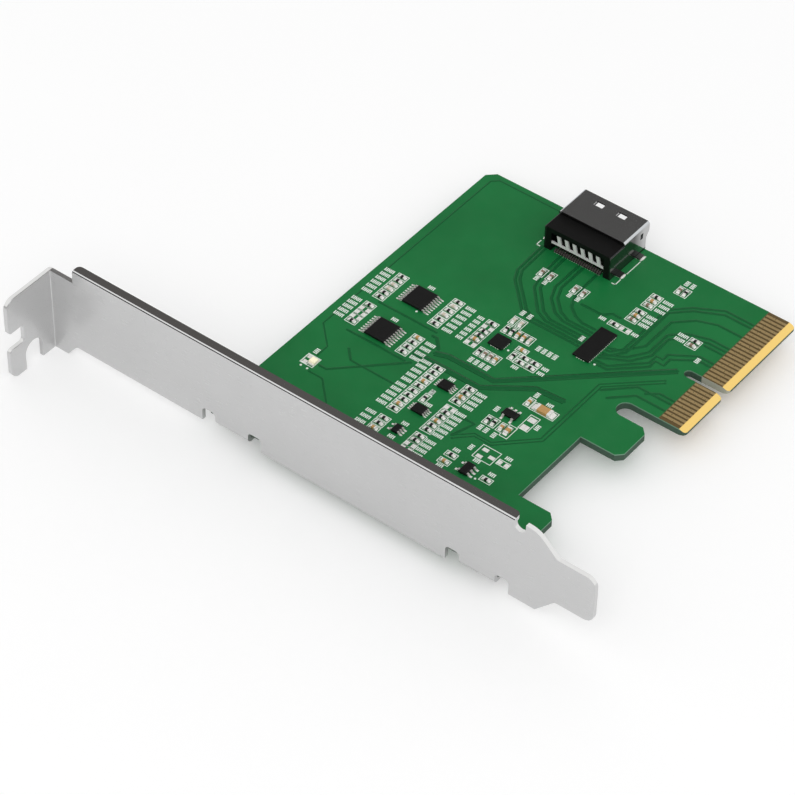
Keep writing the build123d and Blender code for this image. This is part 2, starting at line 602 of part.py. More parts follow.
def flat_chip(name, place, sizes, along, across):
    """A leadless chip on the board: terminals round its rim and the moulded body over them."""
    length, width, height, pitch = sizes
    where = on_board(*place)
    half = QFN_LEAD_WIDTH / 2
    terminals = []
    for turn, depth, count in ((0, width, along), (90, length, across)):
        edge = depth / 2
        for end in (0, 180):
            spin = where * Rot(0, 0, turn + end)
            terminals += [spin * block(x - half, x + half, edge - QFN_LEAD, edge + QFN_TOE, 0, QFN_LEAD_THICKNESS)
                          for x in row(count, pitch)]
    top = height - QFN_LEAD_THICKNESS
    body = Pos(0, 0, QFN_LEAD_THICKNESS) * Box(length, width, top, align=CENTRE_MIN)
    body = chamfer(body.faces().sort_by(Axis.Z)[-1].edges(), CHIP_CHAMFER / 2)
    inset = 2 * (QFN_LEAD + LAND_MARGIN)
    core = Box(length - inset, width - inset, QFN_LEAD_THICKNESS, align=CENTRE_MIN)
    add(name + "_body", where * (body + core))
    add(name + "_terminals", *terminals)


# Chip resistors, capacitors and bare lands

class Passive:
    """One size of two-terminal part, built lying along X."""

    def __init__(self, length, width, height, cap):
        self.length, self.width, self.height, self.cap = length, width, height, cap
        self.bodies = []
        self.terminals = []

    def lands(self, where):
        """The two bare lands of a place that carries no part."""
        end = self.length / 2 + LAND_MARGIN
        half = self.width / 2 + LAND_MARGIN / 6
        for side in (0, 180):
            land = block(end - self.cap - LAND_MARGIN - CHIP_CHAMFER / 2, end, -half, half, 0, LAND_THICKNESS)
            LANDS.append(where * Rot(0, 0, side) * land)

    def place(self, where):
        """Stands one part on the board at a place."""
        middle = self.length / 2 - self.cap
        half = self.width / 2
        self.bodies.append(where * block(-middle, middle, -half, half, 0, self.height))
        for side in (0, 180):
            terminal = block(middle, self.length / 2, -half, half, 0, self.height)
            self.terminals.append(where * Rot(0, 0, side) * terminal)


RESISTOR = Passive(1.15, 0.58, 0.35, 0.30)
TAN_CAPACITOR = Passive(1.20, 0.60, 0.45, 0.30)
PALE_CAPACITOR = Passive(1.20, 0.60, 0.40, 0.30)
BROWN_CAPACITOR = Passive(1.20, 0.60, 0.42, 0.30)
MEDIUM_CAPACITOR = Passive(1.60, 0.85, 0.50, 0.38)
BULK_CAPACITOR = Passive(3.20, 1.60, 0.60, 0.55)
BARE_LANDS = Passive(1.60, 0.80, 0, 0.42)
KINDS = {"r": RESISTOR, "t": TAN_CAPACITOR, "p": PALE_CAPACITOR, "b": BROWN_CAPACITOR}

# Rows of parts that stand across the card: first X, distance down, pitch and kinds ("-" is a pair
# of bare lands)
STANDING_ROWS = (
    (34.00, 5.55, 1.31, "r---r"), (42.20, 5.55, 1.35, "rrpprr"),
    (33.30, 17.70, 1.50, "rrrt"), (42.75, 17.70, 1.42, "rrprpr"),
    (14.80, 25.65, 1.52, "trr"), (20.90, 25.40, 1.39, "rtrrr"), (28.10, 25.40, 1.42, "rtrrr"),
    (42.70, 25.90, 1.29, "-trr-r"),
    (14.30, 33.25, 1.30, "--rr"), (20.30, 33.25, 1.33, "rrtrr-"), (29.10, 33.00, 1.33, "rtrr"),
    (15.95, 40.35, 2.00, "tr"), (16.85, 48.75, 4.95, "r-"),
    (44.10, 35.80, 1.40, "rr"), (44.10, 38.10, 1.40, "rr"), (46.90, 34.30, 1.40, "t"),
    (62.90, 43.15, 1.40, "r"), (62.90, 45.50, 1.40, "-"),
    (65.90, 44.90, 1.27, "btr"), (70.80, 45.05, 1.37, "btr"), (66.95, 57.25, 1.27, "br"),
)

# Columns of parts that lie along the card: X, first distance down, pitch downwards and kinds
LYING_COLUMNS = (
    (28.95, 40.15, 1.26, "rr"), (28.90, 43.20, 1.26, "t"), (37.00, 43.20, 1.26, "t"),
    (41.95, 28.50, 1.20, "rbbt"), (49.75, 28.80, 1.27, "rrttp"), (52.40, 28.50, 1.60, "pp"),
    (44.75, 33.90, 1.26, "r"), (26.30, 28.20, 1.26, "r"), (21.25, 5.70, 1.26, "-"),
    (77.80, 47.30, 1.25, "br"), (PORT_BACK_X - COUPLING_SETBACK, 24.80, 1.95, "bb"),
    (PORT_BACK_X - COUPLING_SETBACK, 32.25, 1.85, "bb"),
)

LANDS = []


def place_kind(kind, where):
    """Stands one part of a kind at a place, or leaves its bare lands."""
    if kind == "-":
        BARE_LANDS.lands(where)
    else:
        KINDS[kind].place(where)


def passives():
    """All small two-terminal parts."""
    for x, down, pitch, kinds in STANDING_ROWS:
        for i, kind in enumerate(kinds):
            place_kind(kind, on_board(x + i * pitch, down) * Rot(0, 0, 90))
    for x, down, pitch, kinds in LYING_COLUMNS:
        for i, kind in enumerate(kinds):
            place_kind(kind, on_board(x, down + i * pitch))
    MEDIUM_CAPACITOR.place(on_board(*MEDIUM_CAPACITOR_PLACE))
    BULK_CAPACITOR.place(on_board(*BULK_CAPACITOR_PLACE) * Rot(0, 0, 90))
    groups = {"resistor": RESISTOR, "tan_capacitor": TAN_CAPACITOR, "pale_capacitor": PALE_CAPACITOR,
              "brown_capacitor": BROWN_CAPACITOR, "medium_capacitor": MEDIUM_CAPACITOR,
              "bulk_capacitor": BULK_CAPACITOR}
    for name, passive in groups.items():
        add(name + "_bodies", *passive.bodies)
        add(name + "_terminals", *passive.terminals)


# Status lamp

LAMP_LENGTH = 2.00
LAMP_WIDTH = 1.25
LAMP_BASE = 0.30
LAMP_LENS_LENGTH = 1.30
LAMP_LENS_HEIGHT = 0.45
LAMP_CAP = 0.35


def status_lamp():
    """A surface-mounted lamp: base strip, moulded lens and two terminals."""
    half = LAMP_WIDTH / 2
    middle = LAMP_LENGTH / 2 - LAMP_CAP
    where = on_board(*LAMP_PLACE)
    add("lamp_base", where * block(-middle, middle, -half, half, 0, LAMP_BASE))
    lens = Pos(0, 0, LAMP_BASE) * Box(LAMP_LENS_LENGTH, LAMP_WIDTH, LAMP_LENS_HEIGHT, align=CENTRE_MIN)
    add("lamp_lens", where * chamfer(lens.faces().sort_by(Axis.Z)[-1].edges(), CHIP_CHAMFER))
    ends = []
    for side in (0, 180):
        spin = where * Rot(0, 0, side)
        ends.append(spin * block(middle, LAMP_LENGTH / 2, -half, half, 0, LAMP_BASE))
    add("lamp_terminals", *ends)


# Bare footprints that carry no part

def bare_footprints():
    """Lands of an unfitted three-legged part and of an unfitted large resistor."""
    for places, size in ((BARE_TRANSISTOR_PLACES, BARE_TRANSISTOR_LAND),
                         (BARE_RESISTOR_PLACES, BARE_RESISTOR_LAND)):
        for place in places:
            LANDS.append(on_board(*place) * Box(*size, LAND_THICKNESS, align=CENTRE_MIN))


# The whole card

add("circuit_board", circuit_board())
add("edge_contacts_front", *edge_contacts(-MASK_STEP))
add("edge_contacts_back", *edge_contacts(BOARD_BOTTOM))
add("mounting_bracket", mounting_bracket())
SCREW_PLACES = [Pos(SCREW_X, y) for y in (TAB_NEAR_Y, TAB_FAR_Y)]
add("bracket_screws", *[where * bracket_screw() for where in SCREW_PLACES])
LANDS += [where * screw_land() for where in SCREW_PLACES]

add("port_housing", port_housing())
add("port_cage", port_cage())
add("port_comb", port_comb())
add("port_contacts_upper", *port_contacts(1))
add("port_contacts_lower", *port_contacts(-1))
add("port_tails", *port_tails())
LANDS += cage_foot_lands() + port_tail_lands()

EIGHT_EACH = (row(8, 1), row(8, 1))
FOUR_EACH = (row(4, 1), row(4, 1))
TWO_AND_THREE = ((-1, 1), (-1, 0, 1))
for side, place in LOGIC_CHIP_PLACES.items():
    leaded_chip("logic_chip_" + side, place, 0, LOGIC_CHIP, EIGHT_EACH)
for side, place in BUFFER_CHIP_PLACES.items():
    leaded_chip("buffer_chip_" + side, place, 0, BUFFER_CHIP, FOUR_EACH)
leaded_chip("gate_chip", GATE_CHIP_PLACE, 0, GATE_CHIP, TWO_AND_THREE)
leaded_chip("regulator_chip", REGULATOR_PLACE, 0, SMALL_CHIP, TWO_AND_THREE)
leaded_chip("reset_chip", RESET_CHIP_PLACE, 90, SMALL_CHIP, TWO_AND_THREE)
flat_chip("redriver", REDRIVER_PLACE, REDRIVER, REDRIVER_SIDE_COUNT, REDRIVER_END_COUNT)
flat_chip("controller", CONTROLLER_PLACE, CONTROLLER, CONTROLLER_SIDE_COUNT, CONTROLLER_SIDE_COUNT)

passives()
status_lamp()
bare_footprints()
add("component_lands", *LANDS)

for name, shape in NODES.items():
    export_step(shape, f"parts/{name}.step")
print(len(NODES), "nodes")
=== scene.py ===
"""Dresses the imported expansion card: studio, finishes, printed marks, conductors and solder."""
from __future__ import annotations

import logging
import math
from dataclasses import dataclass
from enum import Enum
from typing import Any

import bmesh
import bpy
from mathutils import Matrix, Vector


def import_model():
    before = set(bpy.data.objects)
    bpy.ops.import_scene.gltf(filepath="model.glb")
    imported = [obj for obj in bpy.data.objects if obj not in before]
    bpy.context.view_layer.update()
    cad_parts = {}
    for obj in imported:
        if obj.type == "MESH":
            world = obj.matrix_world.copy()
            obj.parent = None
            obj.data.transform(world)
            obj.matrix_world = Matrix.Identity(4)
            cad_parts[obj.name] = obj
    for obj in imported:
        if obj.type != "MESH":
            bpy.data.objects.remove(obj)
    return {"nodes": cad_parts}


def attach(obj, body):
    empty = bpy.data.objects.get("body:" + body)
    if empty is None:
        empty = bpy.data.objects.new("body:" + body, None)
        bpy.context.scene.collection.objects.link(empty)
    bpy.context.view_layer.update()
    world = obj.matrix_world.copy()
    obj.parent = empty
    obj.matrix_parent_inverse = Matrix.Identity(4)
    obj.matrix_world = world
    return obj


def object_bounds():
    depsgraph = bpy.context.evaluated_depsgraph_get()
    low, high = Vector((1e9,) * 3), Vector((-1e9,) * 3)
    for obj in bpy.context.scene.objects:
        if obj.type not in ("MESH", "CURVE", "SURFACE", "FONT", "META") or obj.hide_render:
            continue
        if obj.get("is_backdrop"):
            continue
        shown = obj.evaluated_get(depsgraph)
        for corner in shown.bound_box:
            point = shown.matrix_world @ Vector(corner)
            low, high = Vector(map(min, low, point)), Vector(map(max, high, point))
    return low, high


Triple = tuple[float, float, float]
Colour = Triple
Point = tuple[float, float]

LOG = logging.getLogger("card")
MM = 0.001  # metres in one millimetre
BODY = "root"  # the card's only body
BOARD_MM = 1.57  # the board's thickness
MIDDLE = (0.04, 0.045)  # the card's middle in metres, which the studio is set round
NOISE_RANGE = (0.3, 0.7)  # where most of a noise's values lie
FINE = 2.0  # a noise's detail where it stands for fine grain


class Facing(Enum):
    """Which way a two-ended part lies on the board, by its turn in degrees."""

    ACROSS = 0.0
    STANDING = 90.0


class Side(Enum):
    """A face of the board, by the sign of its direction along Z."""

    COMPONENT = 1
    SOLDER = -1


class Blend(Enum):
    """How two colours are put together."""

    MIX = "MIX"
    MULTIPLY = "MULTIPLY"


@dataclass(frozen=True)
class Signal:
    """A value or colour inside a node tree, with its arithmetic as Python operators."""

    graph: Graph
    socket: bpy.types.NodeSocket

    def _math(self, operation: str, first: Any, second: Any) -> Signal:
        """One Math node on two values."""
        return self.graph.add("ShaderNodeMath", {"operation": operation}, {0: first, 1: second})

    def __add__(self, other: Any) -> Signal:
        """Sum."""
        return self._math("ADD", self, other)

    def __sub__(self, other: Any) -> Signal:
        """Difference."""
        return self._math("SUBTRACT", self, other)

    def __rsub__(self, other: Any) -> Signal:
        """Difference, with this signal taken away."""
        return self._math("SUBTRACT", other, self)

    def __mul__(self, other: Any) -> Signal:
        """Product."""
        return self._math("MULTIPLY", self, other)

    def __gt__(self, limit: Any) -> Signal:
        """1 where the signal passes the limit, otherwise 0."""
        return self._math("GREATER_THAN", self, limit)

    def __lt__(self, limit: Any) -> Signal:
        """1 where the signal stays under the limit, otherwise 0."""
        return self._math("LESS_THAN", self, limit)

    def maximum(self, other: Any) -> Signal:
        """The larger of two values."""
        return self._math("MAXIMUM", self, other)

    __radd__ = __add__
    __rmul__ = __mul__


class Graph:
    """A node tree, with one method for any kind of node."""

    def __init__(self, tree: bpy.types.NodeTree) -> None:
        """Keeps the tree.

        Args:
            tree: the nodes of a material or of the world.
        """
        self.tree = tree

    def add(self, kind: str, settings: dict[str, Any] | None = None,
            inputs: dict[Any, Any] | None = None, output: int | str = 0) -> Signal:
        """Adds a node.

        Args:
            kind: the node's type.
            settings: properties set before the sockets.
            inputs: values or signals for the node's sockets, by index or name.
            output: the socket to return.

        Returns:
            The chosen output as a signal.
        """
        node = self.tree.nodes.new(kind)
        for key, value in (settings or {}).items():
            setattr(node, key, value)
        for key, value in (inputs or {}).items():
            self.feed(node.inputs[key], value)
        return Signal(self, node.outputs[output])

    def feed(self, socket: bpy.types.NodeSocket, value: Any) -> None:
        """Links a signal to a socket, or writes a plain value there.

        Args:
            socket: the input.
            value: a signal, a number, a vector, or a colour without its alpha.
        """
        if isinstance(value, Signal):
            self.tree.links.new(value.socket, socket)
        elif isinstance(value, tuple) and socket.type == "RGBA":
            socket.default_value = (*value, 1.0)
        else:
            socket.default_value = value

    def ramp(self, value: Signal, low: float, high: float, start: float, end: float) -> Signal:
        """Moves a value from one range to another, held at its ends.

        Args:
            value: the signal.
            low: the start of its range.
            high: the end of its range.
            start: the result at low.
            end: the result at high.

        Returns:
            The moved value.
        """
        return self.add("ShaderNodeMapRange", inputs={0: value, 1: low, 2: high, 3: start, 4: end})


class Shader(Graph):
    """Builds one material round its Principled BSDF."""

    def __init__(self, name: str) -> None:
        """Starts a material.

        Args:
            name: the material's name.
        """
        self.material = bpy.data.materials.new(name)
        self.material.use_nodes = True
        super().__init__(self.material.node_tree)
        self.surface = self.tree.nodes["Principled BSDF"]

    def axes(self) -> tuple[Signal, Signal, Signal]:
        """The three Object coordinates in metres, as separate values."""
        split = self.add("ShaderNodeSeparateXYZ", inputs={0: self.add("ShaderNodeTexCoord", output="Object")})
        outputs = split.socket.node.outputs
        return Signal(self, outputs[0]), Signal(self, outputs[1]), Signal(self, outputs[2])

    def noise(self, grain_mm: float, detail: float = 3.0, stretch: Triple = (1.0, 1.0, 1.0)) -> Signal:
        """Cloudy noise in Object coordinates.

        Args:
            grain_mm: about how large its features are.
            detail: how much finer noise lies on them.
            stretch: the coordinates' scale along each axis.

        Returns:
            The noise, from 0 to 1.
        """
        coordinates = self.add("ShaderNodeTexCoord", output="Object")
        place = self.add("ShaderNodeMapping", inputs={"Vector": coordinates, "Scale": stretch})
        return self.add("ShaderNodeTexNoise",
                        inputs={"Vector": place, "Scale": 1.0 / (grain_mm * MM), "Detail": detail})

    def spread(self, noise: Signal, start: float = 0.0, end: float = 1.0) -> Signal:
        """Spreads a noise's usual values over a range.

        Args:
            noise: the noise.
            start: the result where the noise is low.
            end: the result where it is high.

        Returns:
            The value.
        """
        return self.ramp(noise, *NOISE_RANGE, start, end)

    def mix(self, factor: Any, first: Any, second: Any, blend: Blend = Blend.MIX) -> Signal:
        """Puts two colours together.

        Args:
            factor: how much of the second shows, from 0 to 1.
            first: the colour at 0.
            second: the other colour.
            blend: the way they are put together.

        Returns:
            The colour.
        """
        settings = {"data_type": "RGBA", "blend_type": blend.value}
        return self.add("ShaderNodeMix", settings, {0: factor, 6: first, 7: second}, 2)

    def upward(self) -> Signal:
        """How far the surface faces up or down, from 0 to 1."""
        normal = self.add("ShaderNodeNewGeometry", output="Normal")
        split = self.add("ShaderNodeSeparateXYZ", inputs={0: normal}, output=2)
        return self.add("ShaderNodeMath", {"operation": "ABSOLUTE"}, {0: split})

    def bump(self, height: Signal, depth_mm: float, strength: float) -> Signal:
        """A relief for the Normal socket.

        Args:
            height: the relief's pattern.
            depth_mm: how deep it is.
            strength: how much of it counts, from 0 to 1.

        Returns:
            The normal.
        """
        inputs = {"Height": height, "Distance": depth_mm * MM, "Strength": strength}
        return self.add("ShaderNodeBump", inputs=inputs)

    def finish(self, **sockets: Any) -> bpy.types.Material:
        """Feeds the Principled BSDF and returns the finished material.

        Args:
            sockets: values or signals by socket name, with underscores for spaces.

        Returns:
            The material.
        """
        for name, value in sockets.items():
            self.feed(self.surface.inputs[name.replace("_", " ")], value)
        return self.material


@dataclass(frozen=True)
class MaskFinish:
    """Green solder mask over copper, bare laminate on the cut edges and by the contacts, a painted highlight along
    the top of the cut edges, and one wall of the key slot painted pale as painted light.
    """

    green: Colour = (0.008, 0.186, 0.046)
    deep_green: Colour = (0.006, 0.158, 0.038)
    # painted highlight: the lighter green painted along the top of the board's cut edges
    arris_highlight: Colour = (0.170, 0.330, 0.220)
    # painted light: the pale colour painted on the key slot's one lit wall
    slot_wall_light: Colour = (0.420, 0.420, 0.340)
    edge: Colour = (0.060, 0.110, 0.075)
    edge_dark: Colour = (0.030, 0.062, 0.042)
    bare: Colour = (0.130, 0.085, 0.030)
    bevel: Colour = (0.970, 0.670, 0.190)
    arris_highlight_mm: float = 0.26
    slot_wall_light_mm: Point = (61.3, 62.3)
    tongue_start_mm: float = 48.0
    bare_edge_mm: float = 5.75
    bevel_mm: float = 1.36
    cloud_mm: float = 14.0
    cloud_range: Point = (0.35, 0.65)
    weave_mm: float = 0.45
    weave_relief: Point = (0.01, 0.25)
    ply_mm: float = 0.20
    ply_shade: float = 0.55
    flat_from: float = 0.6
    gloss_mm: float = 2.5
    roughness: Point = (0.30, 0.38)
    edge_roughness: float = 0.75
    specular: float = 0.35

    def build(self) -> bpy.types.Material:
        """Makes the board's material."""
        shader = Shader("green_solder_mask")
        x, y, z = shader.axes()
        cloud = shader.ramp(shader.noise(self.cloud_mm), *self.cloud_range, 0.0, 1.0)
        weave = shader.noise(self.weave_mm, FINE)
        face = shader.mix(cloud, self.deep_green, self.green)
        contact_edge = y < self.bare_edge_mm * MM
        tongue = contact_edge * (x > self.tongue_start_mm * MM)
        face = shader.mix(tongue, face, self.bare)
        face = shader.mix(tongue * (y < self.bevel_mm * MM), face, self.bevel)
        turn = z * (2 * math.pi / (self.ply_mm * MM))
        plies = shader.add("ShaderNodeMath", {"operation": "SINE"}, {0: turn})
        rim = shader.mix(shader.ramp(plies, -1.0, 1.0, 0.0, self.ply_shade), self.edge, self.edge_dark)
        # Painted highlight: the top arris_highlight_mm of the cut edges is painted a lighter green, standing in for
        # light caught along the board's top edges.
        rim = shader.mix(z > -self.arris_highlight_mm * MM, rim, self.arris_highlight)
        # Painted light: one wall of the key slot, between these X limits, is painted pale as if lit, while the other
        # wall keeps the laminate colour.
        low, high = (value * MM for value in self.slot_wall_light_mm)
        rim = shader.mix((x > low) * (x < high) * contact_edge, rim, self.slot_wall_light)
        flat = shader.upward() > self.flat_from
        colour = shader.mix(flat, rim, face)
        gloss = shader.spread(shader.noise(self.gloss_mm), *self.roughness)
        rough = gloss * flat + (1 - flat) * self.edge_roughness
        return shader.finish(Base_Color=colour, Roughness=rough, Normal=shader.bump(weave, *self.weave_relief),
                             Specular_IOR_Level=self.specular)


@dataclass(frozen=True)
class ScrewFinish:
    """Zinc plating, a little uneven."""

    tone: Colour = (0.66, 0.65, 0.62)
    dark: Colour = (0.55, 0.54, 0.52)
    grain_mm: float = 0.12
    cloud_mm: float = 18.0
    wear: float = 0.5
    roughness: Point = (0.25, 0.32)
    relief: Point = (0.004, 0.18)

    def build(self) -> bpy.types.Material:
        """Makes the metal."""
        shader = Shader("zinc_screw")
        grain = shader.noise(self.grain_mm, FINE)
        cloud = shader.spread(shader.noise(self.cloud_mm))
        colour = shader.mix(cloud * self.wear, self.tone, self.dark)
        return shader.finish(Base_Color=colour, Metallic=1.0, Roughness=shader.spread(grain, *self.roughness),
                             Normal=shader.bump(grain, *self.relief))


@dataclass(frozen=True)
class BracketFinish:
    """Plated bracket sheet: a brushed face, a smooth rolled rim, dull sheared edges, and painted shade on the tab
    that darkens towards the fold.
    """

    tone: Colour = (0.730, 0.730, 0.730)
    worn: Colour = (0.680, 0.680, 0.680)
    sheared: Colour = (0.800, 0.800, 0.790)
    plain: Colour = (1.0, 1.0, 1.0)
    grain_mm: float = 0.12
    brushed: Triple = (1.0, 0.05, 1.0)
    cloud_mm: float = 18.0
    wear: float = 0.5
    face_roughness: Point = (0.27, 0.34)
    rim_roughness: float = 0.07
    rim_start_mm: float = 14.95
    rim_near_mm: float = 2.20
    rim_far_mm: float = 99.45
    tab_mm: float = 104.90
    # painted shade on the tab: its share of the colour at the fold, and the depth over which it fades out
    tab_shade: float = 0.72
    tab_depth_mm: float = 7.0
    cut_from: float = 0.5
    cut_dullness: float = 0.9
    cut_roughness: float = 0.7
    relief: Point = (0.002, 0.10)

    def build(self) -> bpy.types.Material:
        """Makes the metal."""
        shader = Shader("plated_bracket_sheet")
        x, y, z = shader.axes()
        lines = shader.noise(self.grain_mm, FINE, self.brushed)
        cloud = shader.spread(shader.noise(self.cloud_mm))
        sheet = shader.mix(cloud * self.wear, self.tone, self.worn)
        # Painted shade: past tab_mm the sheet's colour is multiplied darker towards the fold at X = 0, down to
        # tab_shade of it.
        fold_shade = shader.ramp(x, -self.tab_depth_mm * MM, 0.0, 1.0, self.tab_shade)
        shade = shader.mix(y > self.tab_mm * MM, self.plain, fold_shade)
        sheet = shader.mix(1.0, sheet, shade, Blend.MULTIPLY)
        along = (y > self.rim_near_mm * MM) * (y < self.rim_far_mm * MM)
        rim = along * (z > self.rim_start_mm * MM)
        ends = (y < self.rim_near_mm * MM) + (y > self.tab_mm * MM)
        cut = (shader.upward() > self.cut_from) * ends
        rough = shader.spread(lines, *self.face_roughness)
        rough = rough * (1 - rim) + self.rim_roughness * rim
        rough = rough * (1 - cut) + self.cut_roughness * cut
        return shader.finish(Base_Color=shader.mix(cut, sheet, self.sheared), Roughness=rough,
                             Metallic=1 - cut * self.cut_dullness,
                             Normal=shader.bump(lines * (1 - rim), *self.relief))


@dataclass(frozen=True)
class CageFinish:
    """Dark plated shell: an even top, sides that mirror the board and carry painted shade, a far darker copy of the
    top's tone that fades back towards the mouth, and a darker strip along the bottom.
    """

    top: Colour = (0.600, 0.625, 0.640)
    # painted shade: the sides' colour, a far darker copy of the top's tone
    side: Colour = (0.130, 0.130, 0.130)
    mouth: Colour = (0.600, 0.600, 0.600)
    foot: Colour = (0.090, 0.095, 0.090)
    roughness: Point = (0.11, 0.15)
    cloud_mm: float = 3.0
    mouth_mm: Point = (79.5, 82.5)
    foot_mm: float = 0.45
    top_from: float = 0.3

    def build(self) -> bpy.types.Material:
        """Makes the metal."""
        shader = Shader("dark_cage_sheet")
        x, _, z = shader.axes()
        cloud = shader.noise(self.cloud_mm)
        low, high = (value * MM for value in self.mouth_mm)
        # Painted shade: the sides take the dark side colour, fading to the lighter mouth colour between these X
        # limits; upward faces keep the top colour.
        side = shader.mix(shader.ramp(x, low, high, 0.0, 1.0), self.side, self.mouth)
        sheet = shader.mix(shader.upward() > self.top_from, side, self.top)
        # Darker along the bottom: below foot_mm the sheet takes the dark foot colour.
        sheet = shader.mix(z < self.foot_mm * MM, sheet, self.foot)
        return shader.finish(Base_Color=sheet, Metallic=1.0, Roughness=shader.spread(cloud, *self.roughness))


@dataclass(frozen=True)
class MouldedFinish:
    """Moulded, printed or glazed surface with a fine grain and a few specks of another tone."""

    name: str
    tone: Colour
    speck: Colour
    roughness: float = 0.5
    grain_mm: float = 0.10
    relief_mm: float = 0.006
    gloss: float = 0.5
    relief: float = 0.3
    roughness_step: float = 0.06
    speck_scale: float = 3.0
    speck_detail: float = 4.0
    speck_range: Point = (0.52, 0.75)

    def build(self) -> bpy.types.Material:
        """Makes the material."""
        shader = Shader(self.name)
        grain = shader.noise(self.grain_mm, FINE)
        clouds = shader.noise(self.grain_mm * self.speck_scale, self.speck_detail)
        specks = shader.ramp(clouds, *self.speck_range, 0.0, 1.0)
        colour = shader.mix(specks, self.tone, self.speck)
        rough = shader.spread(grain, self.roughness - self.roughness_step, self.roughness + self.roughness_step)
        return shader.finish(Base_Color=colour, Roughness=rough, Specular_IOR_Level=self.gloss,
                             Normal=shader.bump(grain, self.relief_mm, self.relief))


@dataclass(frozen=True)
class TinFinish:
    """Soft pale metal, such as tin or solder, with a slightly uneven skin."""

    name: str
    tone: Colour
    dark: Colour
    roughness: float = 0.42
    metallic: float = 0.45
    smoother: float = 0.05
    rougher: float = 0.08
    skin_mm: float = 0.35
    skin_range: Point = (0.35, 0.7)
    relief: Point = (0.01, 0.3)

    def build(self) -> bpy.types.Material:
        """Makes the metal."""
        shader = Shader(self.name)
        skin = shader.noise(self.skin_mm, FINE)
        colour = shader.mix(shader.ramp(skin, *self.skin_range, 0.0, 1.0), self.tone, self.dark)
        rough = shader.spread(skin, self.roughness - self.smoother, self.roughness + self.rougher)
        return shader.finish(Base_Color=colour, Metallic=self.metallic, Roughness=rough,
                             Normal=shader.bump(skin, *self.relief))


@dataclass(frozen=True)
class GoldFinish:
    """Gold plating, darker along the two sides of each edge contact."""

    tone: Colour = (0.700, 0.520, 0.255)
    worn: Colour = (0.620, 0.450, 0.210)
    side: Colour = (0.240, 0.160, 0.070)
    pitch_mm: float = 1.0
    centre_mm: float = 0.20
    contact_end_mm: float = 6.0
    side_range: Point = (-0.55, 0.10)
    metallic: float = 0.7
    roughness: Point = (0.25, 0.38)
    skin_mm: float = 0.35
    skin_range: Point = (0.35, 0.7)
    relief: Point = (0.01, 0.3)

    def build(self) -> bpy.types.Material:
        """Makes the gold."""
        shader = Shader("gold_contacts")
        x, y, _ = shader.axes()
        skin = shader.noise(self.skin_mm, FINE)
        plate = shader.mix(shader.ramp(skin, *self.skin_range, 0.0, 1.0), self.tone, self.worn)
        turn = (x - self.centre_mm * MM) * (2 * math.pi / (self.pitch_mm * MM))
        wave = shader.add("ShaderNodeMath", {"operation": "COSINE"}, {0: turn})
        edge = shader.ramp(wave, *self.side_range, 1.0, 0.0) * (y < self.contact_end_mm * MM)
        return shader.finish(Base_Color=shader.mix(edge, plate, self.side), Metallic=self.metallic,
                             Roughness=shader.spread(skin, *self.roughness),
                             Normal=shader.bump(skin, *self.relief))


@dataclass(frozen=True)
class LensFinish:
    """Cream resin of the status lamp, lit faintly from within."""

    tone: Colour = (0.95, 0.90, 0.68)
    dark: Colour = (0.86, 0.78, 0.52)
    glow: Colour = (1.0, 0.93, 0.70)
    strength: float = 0.25
    cloud_mm: float = 0.5
    roughness: float = 0.25
    relief: Point = (0.01, 0.2)

    def build(self) -> bpy.types.Material:
        """Makes the resin."""
        shader = Shader("cream_resin")
        cloud = shader.noise(self.cloud_mm, FINE)
        colour = shader.mix(cloud, self.tone, self.dark)
        return shader.finish(Base_Color=colour, Emission_Color=self.glow, Emission_Strength=self.strength,
                             Roughness=self.roughness, Normal=shader.bump(cloud, *self.relief))


